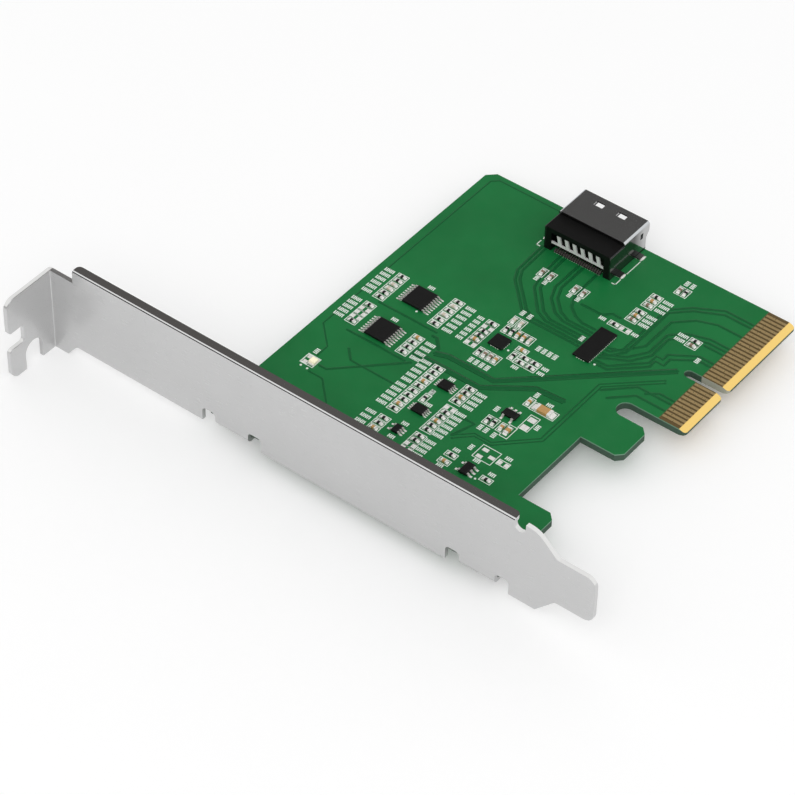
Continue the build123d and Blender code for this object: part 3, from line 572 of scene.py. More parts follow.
class Finishes:
    """Every finish on the card, made once."""

    def __init__(self) -> None:
        """Builds the materials."""
        self.mask = MaskFinish().build()
        self.trace = MouldedFinish("mask_over_gaps", (0.004, 0.110, 0.029), (0.005, 0.120, 0.032),
                                   0.38, 0.4, 0.004, 0.20).build()
        self.ink = MouldedFinish("white_ink", (0.80, 0.88, 0.80), (0.66, 0.78, 0.68), 0.6, 0.25).build()
        self.bracket = BracketFinish().build()
        self.cage = CageFinish().build()
        self.screw = ScrewFinish().build()
        self.comb = TinFinish("light_comb_metal", (0.78, 0.78, 0.77), (0.66, 0.66, 0.65), 0.45, 0.15).build()
        self.tin = TinFinish("tinned_ends", (0.90, 0.89, 0.86), (0.76, 0.75, 0.71), 0.45, 0.20).build()
        self.leads = TinFinish("tinned_leads", (0.66, 0.65, 0.62), (0.48, 0.46, 0.44)).build()
        # Painted shade: the port's tails and their solder joints are near-black, standing in for the shade inside the
        # port's rear recess.
        self.shaded_tails = TinFinish("tails_painted_shade", (0.060, 0.050, 0.044), (0.030, 0.026, 0.023), 0.5).build()
        self.gold = GoldFinish().build()
        self.housing = MouldedFinish("black_housing", (0.003, 0.003, 0.003), (0.005, 0.005, 0.005),
                                     0.42, 0.08, 0.004, 0.20).build()
        self.chip = MouldedFinish("black_chip_body", (0.005, 0.005, 0.005), (0.009, 0.008, 0.008),
                                  0.45, 0.07, 0.004, 0.22).build()
        self.resistor = MouldedFinish("black_glaze", (0.010, 0.009, 0.009), (0.018, 0.016, 0.015), 0.35).build()
        self.tan = MouldedFinish("tan_ceramic", (0.520, 0.290, 0.095), (0.600, 0.370, 0.150), 0.45).build()
        self.pale = MouldedFinish("pale_ceramic", (0.620, 0.560, 0.450), (0.700, 0.640, 0.540), 0.45).build()
        self.brown = MouldedFinish("brown_ceramic", (0.240, 0.165, 0.115), (0.300, 0.220, 0.160), 0.45).build()
        self.lens = LensFinish().build()
        self.base = MouldedFinish("lamp_laminate", (0.72, 0.68, 0.55), (0.80, 0.76, 0.64), 0.5).build()

    def dress(self, shop: Workshop) -> None:
        """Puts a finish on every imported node.

        Args:
            shop: holds the nodes.
        """
        named = {
            "circuit_board": self.mask, "edge_contacts_front": self.gold, "edge_contacts_back": self.gold,
            "mounting_bracket": self.bracket, "bracket_screws": self.screw, "port_housing": self.housing,
            "port_cage": self.cage, "port_comb": self.comb, "port_tails": self.shaded_tails,
            "port_contacts_upper": self.gold, "port_contacts_lower": self.gold, "lamp_lens": self.lens,
            "lamp_base": self.base, "component_lands": self.tin, "resistor_bodies": self.resistor,
            "tan_capacitor_bodies": self.tan, "medium_capacitor_bodies": self.tan,
            "bulk_capacitor_bodies": self.tan, "pale_capacitor_bodies": self.pale,
            "brown_capacitor_bodies": self.brown,
        }
        endings = {"_body": self.chip, "_leads": self.leads, "_terminals": self.tin}
        for name, finish in named.items():
            shop.dress(finish, name)
        for name in shop.nodes:
            for ending, finish in endings.items():
                if name.endswith(ending):
                    shop.dress(finish, name)


class Workshop:
    """Turns bmeshes into finished pieces that ride on the card."""

    def __init__(self, nodes: dict[str, bpy.types.Object]) -> None:
        """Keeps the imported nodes.

        Args:
            nodes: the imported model's objects by name.
        """
        self.nodes = nodes

    def dress(self, material: bpy.types.Material, name: str) -> None:
        """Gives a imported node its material.

        Args:
            material: the finish.
            name: the node that wears it.
        """
        node = self.nodes[name]
        if not node.material_slots:
            node.data.materials.append(material)
        for slot in node.material_slots:
            slot.material = material
        LOG.info("dressed %s in %s", name, material.name)

    def piece(self, name: str, mesh: bmesh.types.BMesh, material: bpy.types.Material) -> None:
        """Makes an object from a bmesh and lets it ride on the card.

        Args:
            name: the piece's name.
            mesh: its shape, in metres in the card's frame.
            material: its finish.
        """
        bmesh.ops.remove_doubles(mesh, verts=mesh.verts, dist=1e-7)
        bmesh.ops.recalc_face_normals(mesh, faces=mesh.faces)
        data = bpy.data.meshes.new(name)
        mesh.to_mesh(data)
        mesh.free()
        data.materials.append(material)
        thing = bpy.data.objects.new(name, data)
        bpy.context.scene.collection.objects.link(thing)
        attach(thing, BODY)
        LOG.info("built %s with %d faces", name, len(data.polygons))


def spot(x: float, y: float, z: float, turn: float = 0.0) -> Matrix:
    """Gives a place on the card as a matrix.

    Args:
        x: X in millimetres.
        y: Y in millimetres.
        z: Z in millimetres.
        turn: the turn about Z in degrees.

    Returns:
        The matrix, in metres.
    """
    return Matrix.Translation(Vector((x, y, z)) * MM) @ Matrix.Rotation(math.radians(turn), 4, "Z")


def add_block(mesh: bmesh.types.BMesh, where: Matrix, length: float, width: float,
              height: float) -> list[bmesh.types.BMVert]:
    """Adds a block that stands on a place.

    Args:
        mesh: the bmesh to add to.
        where: the place of its foot's centre.
        length: size along X in millimetres.
        width: size along Y in millimetres.
        height: size along Z in millimetres.

    Returns:
        The block's vertices.
    """
    size = Matrix.Diagonal((length * MM, width * MM, height * MM, 1.0))
    lift = Matrix.Translation((0, 0, height * MM / 2))
    return bmesh.ops.create_cube(mesh, size=1.0, matrix=where @ lift @ size)["verts"]


def add_frame(mesh: bmesh.types.BMesh, where: Matrix, length: float, width: float, line: float,
              height: float) -> None:
    """Adds a thin printed rectangle.

    Args:
        mesh: the bmesh to add to.
        where: the place of its centre.
        length: size along X in millimetres.
        width: size along Y in millimetres.
        line: the printed line's width in millimetres.
        height: the print's thickness in millimetres.
    """
    size = Matrix.Diagonal((length * MM, width * MM, 1.0, 1.0))
    made = bmesh.ops.create_grid(mesh, x_segments=1, y_segments=1, size=0.5, matrix=where @ size)
    face = list({f for v in made["verts"] for f in v.link_faces})
    rim = bmesh.ops.inset_individual(mesh, faces=face, thickness=line * MM)["faces"]
    bmesh.ops.delete(mesh, geom=face, context="FACES_ONLY")
    top = bmesh.ops.extrude_face_region(mesh, geom=rim)["geom"]
    bmesh.ops.translate(mesh, vec=(0, 0, height * MM), verts=[g for g in top if isinstance(g, bmesh.types.BMVert)])


@dataclass(frozen=True)
class PartRow:
    """A row of two-ended parts in millimetres: first place, pitch, how many, and where their marks stand."""

    x: float
    y: float
    pitch: float
    count: int
    facing: Facing = Facing.STANDING
    marks: float = 0.0
    marks_length: float = 2.3
    bare: tuple[int, ...] = ()

    def places(self) -> list[Point]:
        """Centres of the row's parts."""
        if self.facing is Facing.STANDING:
            return [(self.x + i * self.pitch, self.y) for i in range(self.count)]
        return [(self.x, self.y - i * self.pitch) for i in range(self.count)]


PART_ROWS = (
    PartRow(34.00, 63.35, 1.31, 5, marks=2.95, bare=(1, 2, 3)),
    PartRow(42.20, 63.35, 1.35, 6, marks=2.95),
    PartRow(33.30, 51.20, 1.50, 4, marks=-2.85),
    PartRow(42.75, 51.20, 1.42, 6, marks=-2.85),
    PartRow(14.80, 43.25, 1.52, 3, marks=2.90),
    PartRow(20.90, 43.50, 1.39, 5, marks=2.70),
    PartRow(28.10, 43.50, 1.42, 5, marks=2.70),
    PartRow(42.70, 43.00, 1.29, 6, marks=2.55, marks_length=1.8, bare=(0, 4)),
    PartRow(14.30, 35.65, 1.30, 4, marks=-2.40, marks_length=2.0, bare=(0, 1)),
    PartRow(20.30, 35.65, 1.33, 6, marks=-2.40, marks_length=2.0, bare=(5,)),
    PartRow(29.10, 35.90, 1.33, 4, marks=-2.55, marks_length=2.0),
    PartRow(15.95, 28.55, 2.00, 2),
    PartRow(16.85, 20.15, 4.95, 2, bare=(1,)),
    PartRow(44.10, 33.10, 1.40, 2),
    PartRow(44.10, 30.80, 1.40, 2, marks=-2.30, marks_length=1.6),
    PartRow(46.90, 34.60, 1.40, 1),
    PartRow(62.90, 25.75, 1.40, 1, marks=2.60, marks_length=1.6),
    PartRow(62.90, 23.40, 1.40, 1, marks=-2.20, marks_length=1.6, bare=(0,)),
    PartRow(65.90, 24.00, 1.27, 3, marks=-2.60),
    PartRow(70.80, 23.85, 1.37, 3, marks=-2.60),
    PartRow(66.95, 11.65, 1.27, 2, marks=2.60),
    PartRow(28.95, 28.75, 1.26, 2, Facing.ACROSS, marks=-2.30, marks_length=1.2),
    PartRow(28.90, 25.70, 1.26, 1, Facing.ACROSS, marks=-2.40, marks_length=1.4),
    PartRow(37.00, 25.70, 1.26, 1, Facing.ACROSS, marks=2.30, marks_length=1.4),
    PartRow(41.95, 40.40, 1.20, 4, Facing.ACROSS, marks=-2.60, marks_length=1.8),
    PartRow(49.75, 40.10, 1.27, 5, Facing.ACROSS),
    PartRow(52.40, 40.40, 1.60, 2, Facing.ACROSS, marks=2.60, marks_length=1.3),
    PartRow(44.75, 35.00, 1.26, 1, Facing.ACROSS),
    PartRow(26.30, 40.70, 1.26, 1, Facing.ACROSS, marks=2.00, marks_length=0.8),
    PartRow(21.25, 63.20, 1.26, 1, Facing.ACROSS, marks=2.60, marks_length=1.8, bare=(0,)),
    PartRow(77.80, 21.60, 1.25, 2, Facing.ACROSS, marks=2.40, marks_length=1.6),
    PartRow(66.10, 44.10, 1.95, 2, Facing.ACROSS, marks=-1.80, marks_length=1.0),
    PartRow(66.10, 36.65, 1.85, 2, Facing.ACROSS, marks=-1.80, marks_length=1.0),
)


@dataclass(frozen=True)
class PrintedMarks:
    """White printing in millimetres: a frame round each place, and generic bars where a board has lettering."""

    line: float = 0.18
    height: float = 0.055
    lift: float = 0.001
    frame_length: float = 2.45
    frame_width: float = 1.40
    bar_width: float = 0.20
    bar_length: float = 0.86
    cell: float = 0.72
    fewest_cells: int = 2
    bar_place: float = 0.27
    cross_length: float = 0.4
    cross_levels: int = 3
    dot_radius: float = 0.22
    dot_sides: int = 16
    port_lines: tuple[tuple[Point, Point], ...] = (
        ((71.75, 31.80), (73.45, 31.80)), ((75.55, 31.80), (79.75, 31.80)), ((81.50, 31.80), (81.50, 31.80)),
        ((71.75, 31.80), (71.75, 32.50)), ((71.75, 49.60), (71.75, 48.90)), ((71.75, 49.60), (73.10, 49.60)),
    )
    boxes: tuple[tuple[float, float, float, float], ...] = (
        (19.9, 61.1, 22.6, 64.0), (20.05, 21.75, 23.65, 25.75), (30.65, 21.55, 34.75, 23.65),
        (35.65, 19.70, 37.85, 24.95), (27.05, 23.35, 30.45, 25.1),
    )
    dots: tuple[Point, ...] = (
        (19.3, 63.2), (19.3, 61.75), (15.95, 21.85), (45.4, 36.6), (52.1, 22.4), (43.3, 55.7),
    )
    labels: tuple[tuple[float, float, float, float], ...] = (
        (39.1, 57.4, 90, 1.5), (50.0, 57.4, 90, 1.5), (33.1, 39.9, 90, 1.2), (25.4, 39.2, 90, 1.0),
        (15.1, 39.5, 90, 1.2), (19.1, 39.5, 90, 1.2), (21.7, 27.0, 0, 1.1), (19.6, 24.2, 90, 1.1),
        (32.1, 29.2, 0, 1.2), (14.7, 28.6, 90, 1.4), (19.5, 28.5, 90, 1.5), (18.5, 20.1, 90, 1.6),
        (23.4, 20.1, 90, 1.6), (32.7, 20.8, 0, 1.8), (38.6, 22.4, 90, 1.6), (56.2, 28.1, 0, 1.2),
        (64.4, 8.6, 0, 1.0), (42.6, 33.1, 90, 1.8), (49.2, 32.6, 0, 1.6), (49.2, 31.4, 0, 1.6),
        (49.2, 30.2, 0, 1.6), (49.2, 29.0, 0, 1.6), (28.2, 40.6, 0, 1.0),
    )

    def _label(self, mesh: bmesh.types.BMesh, where: Matrix, length: float) -> None:
        """Prints one generic mark: bars in pairs along a line, with a cross bar at a changing level.

        Args:
            mesh: the bmesh to add to.
            where: the place of its middle, with local X along the line.
            length: about how long it is in millimetres.
        """
        cells = max(self.fewest_cells, round(length / self.cell))
        for i in range(cells):
            along = (i - (cells - 1) / 2) * self.cell
            for side in (-1, 1):
                place = where @ spot(along + side * self.cell * self.bar_place, 0, 0)
                add_block(mesh, place, self.bar_width, self.bar_length, self.height)
            level = (i % self.cross_levels - 1) * self.bar_length / self.cross_levels
            add_block(mesh, where @ spot(along, level, 0), self.cell * self.cross_length, self.bar_width, self.height)

    def _row(self, mesh: bmesh.types.BMesh, row: PartRow) -> None:
        """Prints the frames and marks of one row of parts.

        Args:
            mesh: the bmesh to add to.
            row: the row.
        """
        turn = row.facing.value
        for x, y in row.places():
            add_frame(mesh, spot(x, y, self.lift, turn), self.frame_length, self.frame_width, self.line, self.height)
            if row.marks:
                away = (row.marks, 0.0) if row.facing is Facing.ACROSS else (0.0, row.marks)
                self._label(mesh, spot(x + away[0], y + away[1], self.lift, turn), row.marks_length)

    def build(self, shop: Workshop, finishes: Finishes) -> None:
        """Prints everything on the component side.

        Args:
            shop: makes the piece.
            finishes: the card's finishes.
        """
        mesh = bmesh.new()
        for row in PART_ROWS:
            self._row(mesh, row)
        for x, y, turn, length in self.labels:
            self._label(mesh, spot(x, y, self.lift, turn), length)
        for x0, y0, x1, y1 in self.boxes:
            place = spot((x0 + x1) / 2, (y0 + y1) / 2, self.lift)
            add_frame(mesh, place, x1 - x0, y1 - y0, self.line, self.height)
        for (x0, y0), (x1, y1) in self.port_lines:
            place = spot((x0 + x1) / 2, (y0 + y1) / 2, self.lift)
            add_block(mesh, place, abs(x1 - x0) + self.line, abs(y1 - y0) + self.line, self.height)
        radius = self.dot_radius * MM
        for x, y in self.dots:
            bmesh.ops.create_cone(mesh, cap_ends=True, segments=self.dot_sides, radius1=radius, radius2=radius,
                                  depth=self.height * MM, matrix=spot(x, y, self.lift + self.height / 2))
        shop.piece("printed_marks", mesh, finishes.ink)


@dataclass(frozen=True)
class Route:
    """One conductor or gap in the copper, seen through the mask, in millimetres."""

    width: float
    points: tuple[Point, ...]


ROUTES = (
    Route(0.24, ((19.0, 61.0), (19.0, 58.0), (14.5, 53.5), (2.5, 53.5))),
    Route(0.30, ((21.3, 60.6), (21.3, 59.0), (32.0, 48.3))),
    Route(0.18, ((23.2, 62.5), (26.0, 62.5), (30.4, 67.0), (80.8, 67.0), (82.0, 65.8), (82.0, 48.5))),
    Route(0.26, ((31.7, 62.5), (31.7, 49.5))),
    Route(0.26, ((41.1, 62.5), (41.1, 49.5))),
    Route(0.70, ((34.5, 49.5), (34.5, 35.0), (40.5, 27.0), (41.0, 21.0))),
    Route(0.70, ((36.6, 46.5), (37.5, 44.0), (37.5, 34.0), (42.5, 28.5), (50.0, 20.5), (60.0, 9.8))),
    Route(0.17, ((22.0, 31.5), (24.8, 28.6), (24.8, 25.0), (31.0, 18.8), (48.5, 18.8), (56.6, 10.2))),
    Route(0.17, ((21.4, 31.0), (24.2, 28.2), (24.2, 24.6), (30.7, 18.1), (48.2, 18.1), (56.0, 9.8))),
    Route(0.30, ((72.2, 48.5), (64.0, 48.2), (61.5, 47.0), (55.5, 41.0), (54.2, 38.2), (54.2, 27.6))),
    Route(0.30, ((72.2, 47.7), (64.3, 47.4), (62.0, 46.3), (56.2, 40.5), (55.0, 38.0), (55.0, 27.6))),
    Route(0.30, ((72.0, 44.2), (66.0, 44.0), (62.0, 43.0), (57.0, 38.5), (55.9, 36.0), (55.9, 27.6))),
    Route(0.30, ((72.0, 43.2), (66.5, 43.0), (62.5, 42.0), (57.8, 37.8), (56.7, 35.5), (56.7, 27.6))),
    Route(0.30, ((72.0, 40.0), (64.5, 40.0), (61.5, 38.8), (58.8, 36.0), (57.8, 33.5), (57.8, 27.6))),
    Route(0.30, ((72.0, 39.0), (65.0, 39.0), (62.2, 37.9), (59.6, 35.2), (58.6, 33.0), (58.6, 27.6))),
    Route(0.30, ((72.0, 36.0), (65.0, 35.8), (62.0, 34.6), (60.4, 32.6), (59.6, 30.5), (59.6, 27.6))),
    Route(0.30, ((63.6, 33.5), (63.6, 29.0), (65.0, 27.6), (65.0, 25.8))),
    Route(0.30, ((56.5, 22.9), (56.5, 22.2), (58.6, 20.6), (72.0, 20.6), (75.5, 17.1), (78.5, 12.0), (78.5, 6.0))),
    Route(0.30, ((55.6, 22.9), (55.6, 21.8), (58.2, 19.8), (71.6, 19.8), (74.8, 16.6), (77.5, 11.5), (77.5, 6.0))),
    Route(0.30, ((57.2, 22.9), (58.0, 20.8), (61.8, 18.0), (69.8, 18.0), (73.0, 14.8), (74.5, 11.0), (74.5, 6.0))),
    Route(0.30, ((54.8, 22.9), (57.4, 18.9), (60.8, 16.6), (66.6, 16.6), (69.0, 14.2), (70.5, 10.0), (70.5, 6.0))),
    Route(0.30, ((54.0, 22.9), (56.8, 18.0), (60.2, 15.8), (65.8, 15.8), (68.2, 13.4), (69.5, 9.6), (69.5, 6.0))),
    Route(0.30, ((53.2, 22.9), (53.2, 20.4), (58.6, 15.0), (60.8, 15.0), (60.8, 13.6), (62.4, 13.6), (65.5, 9.0),
                 (65.5, 6.0))),
    Route(0.30, ((52.4, 22.9), (52.4, 20.0), (57.8, 14.4), (59.6, 14.4), (59.6, 12.6), (61.6, 12.6), (64.5, 8.6),
                 (64.5, 6.0))),
    Route(0.30, ((50.2, 6.0), (50.2, 12.0), (46.5, 15.7))),
    Route(0.30, ((52.2, 6.0), (52.2, 13.0), (47.5, 17.7))),
    Route(0.30, ((53.2, 6.0), (53.2, 9.0), (51.6, 11.0))),
    Route(0.30, ((68.5, 6.0), (68.5, 9.8))),
    Route(0.24, ((25.8, 47.6), (25.8, 57.0), (28.0, 59.2))),
    Route(0.35, ((26.6, 32.4), (26.6, 30.0), (22.0, 31.5))),
    Route(0.35, ((37.8, 46.5), (40.0, 48.5), (40.0, 49.5))),
)


BACK_ROUTES = (
    Route(0.40, ((70.0, 6.5), (70.0, 14.0), (60.0, 24.0), (60.0, 38.0), (68.0, 46.0))),
    Route(0.40, ((72.0, 6.5), (72.0, 14.8), (62.0, 24.8), (62.0, 37.2), (69.0, 44.2))),
    Route(0.40, ((76.0, 6.5), (76.0, 18.0), (66.0, 28.0), (66.0, 36.0))),
    Route(0.50, ((52.0, 6.5), (52.0, 16.0), (44.0, 24.0), (44.0, 50.0), (36.0, 58.0))),
    Route(0.35, ((56.0, 6.5), (56.0, 17.0), (48.0, 25.0), (48.0, 48.0), (54.0, 54.0), (74.0, 54.0))),
    Route(0.80, ((12.0, 30.0), (20.0, 22.0), (38.0, 22.0), (40.0, 24.0), (40.0, 44.0), (24.0, 60.0))),
    Route(0.35, ((14.0, 36.0), (24.0, 36.0), (32.0, 44.0), (32.0, 62.0))),
    Route(0.35, ((18.0, 48.0), (28.0, 48.0), (30.0, 50.0), (30.0, 64.0), (60.0, 64.0))),
)


@dataclass(frozen=True)
class Conductors:
    """Lines in the copper under the mask in millimetres, a little proud of the board, with capped vias."""

    name: str
    routes: tuple[Route, ...]
    side: Side
    face: float
    spread: float = 2.0
    rise: float = 0.010
    dome: float = 0.03
    step: float = 0.005
    via_radius: float = 0.30
    via_dome: float = 0.10

    def _lines(self) -> bmesh.types.BMesh:
        """Sweeps every route as a round line and presses it nearly flat, each a little above the last."""
        up = self.side.value
        curve = bpy.data.curves.new("routes", "CURVE")
        curve.dimensions = "3D"
        curve.bevel_depth = 1.0
        curve.bevel_resolution = 1
        for i, route in enumerate(self.routes):
            line = curve.splines.new("POLY")
            line.points.add(len(route.points) - 1)
            for point, (x, y) in zip(line.points, route.points):
                point.co = (x * MM, y * MM, up * i * self.step * MM, 1.0)
                point.radius = route.width * self.spread * MM / 2
        holder = bpy.data.objects.new("routes", curve)
        bpy.context.scene.collection.objects.link(holder)
        bpy.context.view_layer.update()
        data = bpy.data.meshes.new_from_object(holder.evaluated_get(bpy.context.evaluated_depsgraph_get()))
        mesh = bmesh.new()
        mesh.from_mesh(data)
        bpy.data.objects.remove(holder)
        bpy.data.curves.remove(curve)
        bpy.data.meshes.remove(data)
        for vert in mesh.verts:
            out = up if vert.co.z * up > 0 else -up
            vert.co.z = (self.face + out * self.rise) * MM + self.dome * vert.co.z
        return mesh

    def _vias(self, mesh: bmesh.types.BMesh) -> None:
        """Caps each route's two ends with a flat dome."""
        squash = Matrix.Diagonal((1.0, 1.0, self.via_dome, 1.0))
        for x, y in sorted({end for route in self.routes for end in (route.points[0], route.points[-1])}):
            bmesh.ops.create_icosphere(mesh, subdivisions=2, radius=self.via_radius * MM,
                                       matrix=spot(x, y, self.face) @ squash)

    def build(self, shop: Workshop, finishes: Finishes) -> None:
        """Lays the conductors on one face of the board.

        Args:
            shop: makes the piece.
            finishes: the card's finishes.
        """
        mesh = self._lines()
        self._vias(mesh)
        shop.piece(self.name, mesh, finishes.trace)


@dataclass(frozen=True)
class Solder:
    """Solder in millimetres: fillets at the small parts' ends, beads at the port's feet, and near-black joints at its
    tails as painted shade in the port's rear recess.
    """

    length: float = 1.16
    width: float = 0.68
    reach: float = 0.34
    height: float = 0.24
    slope: float = 0.80
    large: tuple[tuple[float, float, float, float, float, float], ...] = (
        (36.70, 22.35, 90.0, 3.20, 1.50, 0.75), (28.80, 24.35, 0.0, 1.60, 0.86, 0.36),
    )
    feet: tuple[Point, ...] = ((74.50, 31.95), (80.80, 31.95), (74.50, 49.45), (80.80, 49.45))
    bead: Triple = (0.80, 0.30, 0.22)
    lift: float = 0.04
    tail_count: int = 21
    tail_pitch: float = 0.50
    tail_x: float = 72.32
    tail_y: float = 40.70
    joint: Triple = (0.60, 0.36, 0.60)
    joint_middle: float = 0.3
    joint_drop: float = 0.35

    def _fillet(self, mesh: bmesh.types.BMesh, where: Matrix, reach: float, width: float) -> None:
        """Adds one block on a place and slopes its top down along local X.

        Args:
            mesh: the bmesh to add to.
            where: the place of its foot's centre.
            reach: its length along local X.
            width: its length along local Y.
        """
        verts = add_block(mesh, where, reach, width, self.height)
        out = where @ Vector((1, 0, 0)) - where @ Vector((0, 0, 0))
        middle = where @ Vector((0, 0, self.height * MM / 2))
        outer = [v for v in verts if (v.co - middle).dot(out) > 0 and v.co.z > self.height * MM / 2]
        bmesh.ops.translate(mesh, verts=outer, vec=(0, 0, -self.slope * self.height * MM))

    def _fillets(self) -> bmesh.types.BMesh:
        """Makes a sloping fillet at each end of every fitted part, and a bead at each foot of the port."""
        mesh = bmesh.new()
        ends = list(self.large)
        for row in PART_ROWS:
            ends += [(x, y, row.facing.value, self.length, self.width, self.reach)
                     for i, (x, y) in enumerate(row.places()) if i not in row.bare]
        for x, y, turn, length, width, reach in ends:
            for end in (0, 180):
                self._fillet(mesh, spot(x, y, 0, turn + end) @ spot((length + reach) / 2, 0, 0), reach, width)
        squash = Matrix.Diagonal((*(size * MM for size in self.bead), 1.0))
        for x, y in self.feet:
            bmesh.ops.create_icosphere(mesh, subdivisions=2, radius=1.0, matrix=spot(x, y, self.lift) @ squash)
        return mesh

    def _joints(self) -> bmesh.types.BMesh:
        """Makes a joint at each of the port's tails, with its rear edge sloped down."""
        mesh = bmesh.new()
        for i in range(self.tail_count):
            y = self.tail_y + (i - (self.tail_count - 1) / 2) * self.tail_pitch
            verts = add_block(mesh, spot(self.tail_x, y, self.lift), *self.joint)
            rear = [v for v in verts if v.co.x < self.tail_x * MM and v.co.z > self.joint_middle * MM]
            bmesh.ops.translate(mesh, verts=rear, vec=(0, 0, -self.joint_drop * MM))
        return mesh

    def build(self, shop: Workshop, finishes: Finishes) -> None:
        """Adds the solder.

        Args:
            shop: makes the pieces.
            finishes: the card's finishes.
        """
        shop.piece("solder_fillets", self._fillets(), finishes.tin)
        # The tail joints wear the near-black tails finish, as painted shade in the recess.
        shop.piece("tail_joints_painted_shade", self._joints(), finishes.shaded_tails)


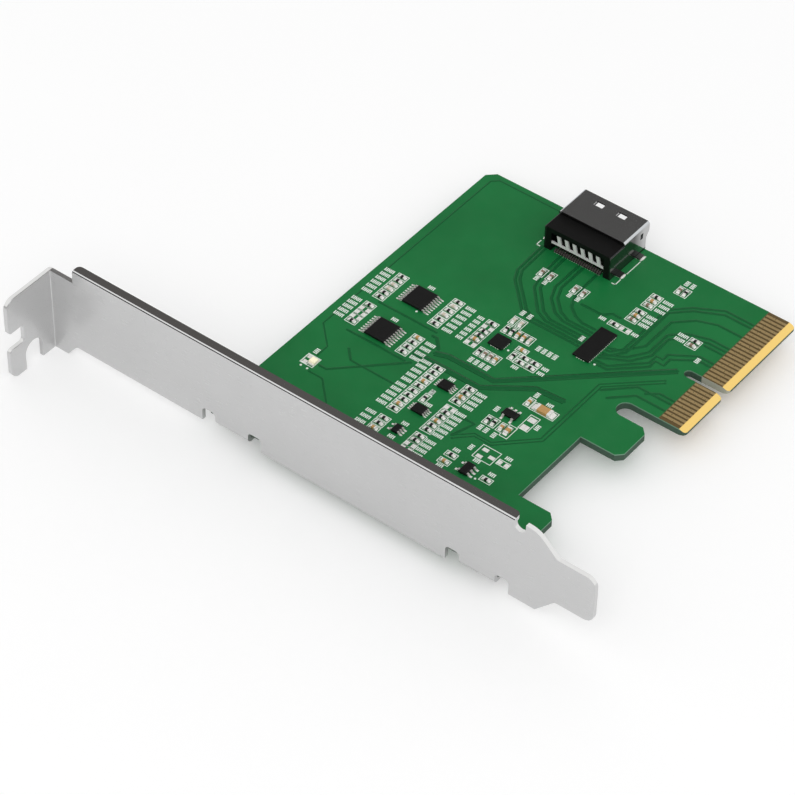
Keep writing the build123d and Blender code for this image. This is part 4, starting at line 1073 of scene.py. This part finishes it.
@dataclass(frozen=True)
class Flag:
    """A dark card in the studio that only reflections see, in metres."""

    name: str
    direction: Triple
    distance: float
    height: float
    size: Point
    glow: Colour
    cloud_mm: float = 80.0
    paler: float = 1.05

    def build(self) -> None:
        """Hangs the card, square to its direction from the middle of the studio."""
        direction = Vector(self.direction).normalized()
        turn = direction.to_track_quat("Z", "Y").to_matrix().to_4x4()
        where = Matrix.Translation(Vector((*MIDDLE, self.height)) + direction * self.distance) @ turn
        mesh = bmesh.new()
        bmesh.ops.create_grid(mesh, x_segments=1, y_segments=1, size=0.5,
                              matrix=where @ Matrix.Diagonal((*self.size, 1.0, 1.0)))
        data = bpy.data.meshes.new(self.name)
        mesh.to_mesh(data)
        mesh.free()
        shader = Shader(self.name)
        paler = tuple(self.paler * value for value in self.glow)
        shader.finish(Base_Color=(0.0, 0.0, 0.0), Specular_IOR_Level=0.0, Roughness=0.9, Emission_Strength=1.0,
                      Emission_Color=shader.mix(shader.noise(self.cloud_mm), self.glow, paler))
        data.materials.append(shader.material)
        card = bpy.data.objects.new(self.name, data)
        card.visible_camera = False
        card.visible_diffuse = False
        card.visible_shadow = False
        bpy.context.scene.collection.objects.link(card)
        card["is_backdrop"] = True


@dataclass(frozen=True)
class Studio:
    """Camera, pale floor, even surrounding light, one soft lamp and the dark flags."""

    focal_px: float = 3410.0586
    photo_px: float = 795.0
    sensor_mm: float = 36.0
    clip: Point = (0.01, 50.0)
    eye_mm: Triple = (-320.924, -216.645, 417.982)
    right: Triple = (0.61458412, -0.78873812, 0.01336166)
    down: Triple = (-0.54244839, -0.43485199, -0.71878612)
    forward: Triple = (0.57274436, 0.43450653, -0.69510285)
    floor_size: float = 12.0
    floor_tone: Colour = (0.90, 0.90, 0.90)
    floor_dark: Colour = (0.88, 0.88, 0.88)
    floor_glow: Colour = (0.16, 0.16, 0.16)
    floor_cloud_mm: float = 60.0
    ambient: float = 0.80
    lamp_place: Triple = (-0.9, -0.5, 1.1)
    lamp_size: float = 0.9
    lamp_power: float = 5.0
    flags: tuple[Flag, ...] = (
        Flag("dark_flag", (0.573, 0.4345, 0.695), 1.3, 0.0, (1.10, 1.10), (0.112, 0.106, 0.102)),
        Flag("dark_wall", (-0.89, 0.45, 0.0), 0.5, 0.18, (0.62, 0.36), (0.050, 0.050, 0.050)),
    )

    def _camera(self) -> None:
        """Places the camera where the photograph was taken."""
        data = bpy.data.cameras.new("camera")
        data.lens = self.focal_px / self.photo_px * self.sensor_mm
        data.sensor_width = self.sensor_mm
        data.clip_start, data.clip_end = self.clip
        eye = bpy.data.objects.new("camera", data)
        turn = Matrix((self.right, -Vector(self.down), -Vector(self.forward))).transposed().to_4x4()
        eye.matrix_world = Matrix.Translation(Vector(self.eye_mm) * MM) @ turn
        bpy.context.scene.collection.objects.link(eye)
        bpy.context.scene.camera = eye

    def _floor(self, height: float) -> None:
        """Lays the pale floor under the card.

        Args:
            height: the floor's height in metres.
        """
        mesh = bmesh.new()
        bmesh.ops.create_grid(mesh, x_segments=1, y_segments=1, size=self.floor_size / 2,
                              matrix=Matrix.Translation((*MIDDLE, height)))
        data = bpy.data.meshes.new("floor")
        mesh.to_mesh(data)
        mesh.free()
        shader = Shader("pale_floor")
        colour = shader.mix(shader.noise(self.floor_cloud_mm), self.floor_tone, self.floor_dark)
        seen = shader.add("ShaderNodeLightPath", output="Is Camera Ray")
        shader.finish(Base_Color=colour, Roughness=0.9, Specular_IOR_Level=0.0,
                      Emission_Color=shader.mix(seen, (0.0, 0.0, 0.0), self.floor_glow), Emission_Strength=1.0)
        data.materials.append(shader.material)
        ground = bpy.data.objects.new("floor", data)
        bpy.context.scene.collection.objects.link(ground)
        ground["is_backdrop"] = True

    def _surround(self) -> None:
        """Sets the even light: full for the camera, reflections and transmission, less on matt surfaces."""
        world = bpy.data.worlds.new("studio")
        world.use_nodes = True
        graph = Graph(world.node_tree)
        camera = graph.add("ShaderNodeLightPath", output="Is Camera Ray")
        glossy = graph.add("ShaderNodeLightPath", output="Is Glossy Ray")
        through = graph.add("ShaderNodeLightPath", output="Is Transmission Ray")
        strength = graph.ramp(camera.maximum(glossy).maximum(through), 0.0, 1.0, self.ambient, 1.0)
        background = graph.tree.nodes["Background"]
        graph.feed(background.inputs["Color"], (1.0, 1.0, 1.0))
        graph.feed(background.inputs["Strength"], strength)
        bpy.context.scene.world = world

    def _lamp(self) -> None:
        """Hangs one square soft lamp that looks at the card."""
        data = bpy.data.lights.new("key_lamp", "AREA")
        data.shape = "SQUARE"
        data.size = self.lamp_size
        data.energy = self.lamp_power
        lamp = bpy.data.objects.new("key_lamp", data)
        place = Vector(self.lamp_place)
        aim = (Vector((*MIDDLE, 0.0)) - place).to_track_quat("-Z", "Y")
        lamp.matrix_world = Matrix.Translation(place) @ aim.to_matrix().to_4x4()
        bpy.context.scene.collection.objects.link(lamp)

    def build(self, lowest: float) -> None:
        """Sets up the whole studio.

        Args:
            lowest: the card's lowest point, where the floor lies, in metres.
        """
        self._camera()
        self._floor(lowest)
        self._surround()
        self._lamp()
        for flag in self.flags:
            flag.build()
        bpy.context.scene.view_settings.view_transform = "Standard"
        LOG.info("built the studio")


def main() -> None:
    """Builds the scene in order: frame, studio, the card's finishes, then what is added to it."""
    logging.basicConfig(level=logging.INFO, format="%(message)s")
    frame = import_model()
    cad = [list(corner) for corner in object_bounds()]
    shop = Workshop(frame["nodes"])
    finishes = Finishes()
    Studio().build(cad[0][2])
    finishes.dress(shop)
    PrintedMarks().build(shop, finishes)
    Conductors("front_conductors", ROUTES, Side.COMPONENT, 0.0).build(shop, finishes)
    Conductors("back_conductors", BACK_ROUTES, Side.SOLDER, -BOARD_MM).build(shop, finishes)
    Solder().build(shop, finishes)


if __name__ == "__main__":
    main()
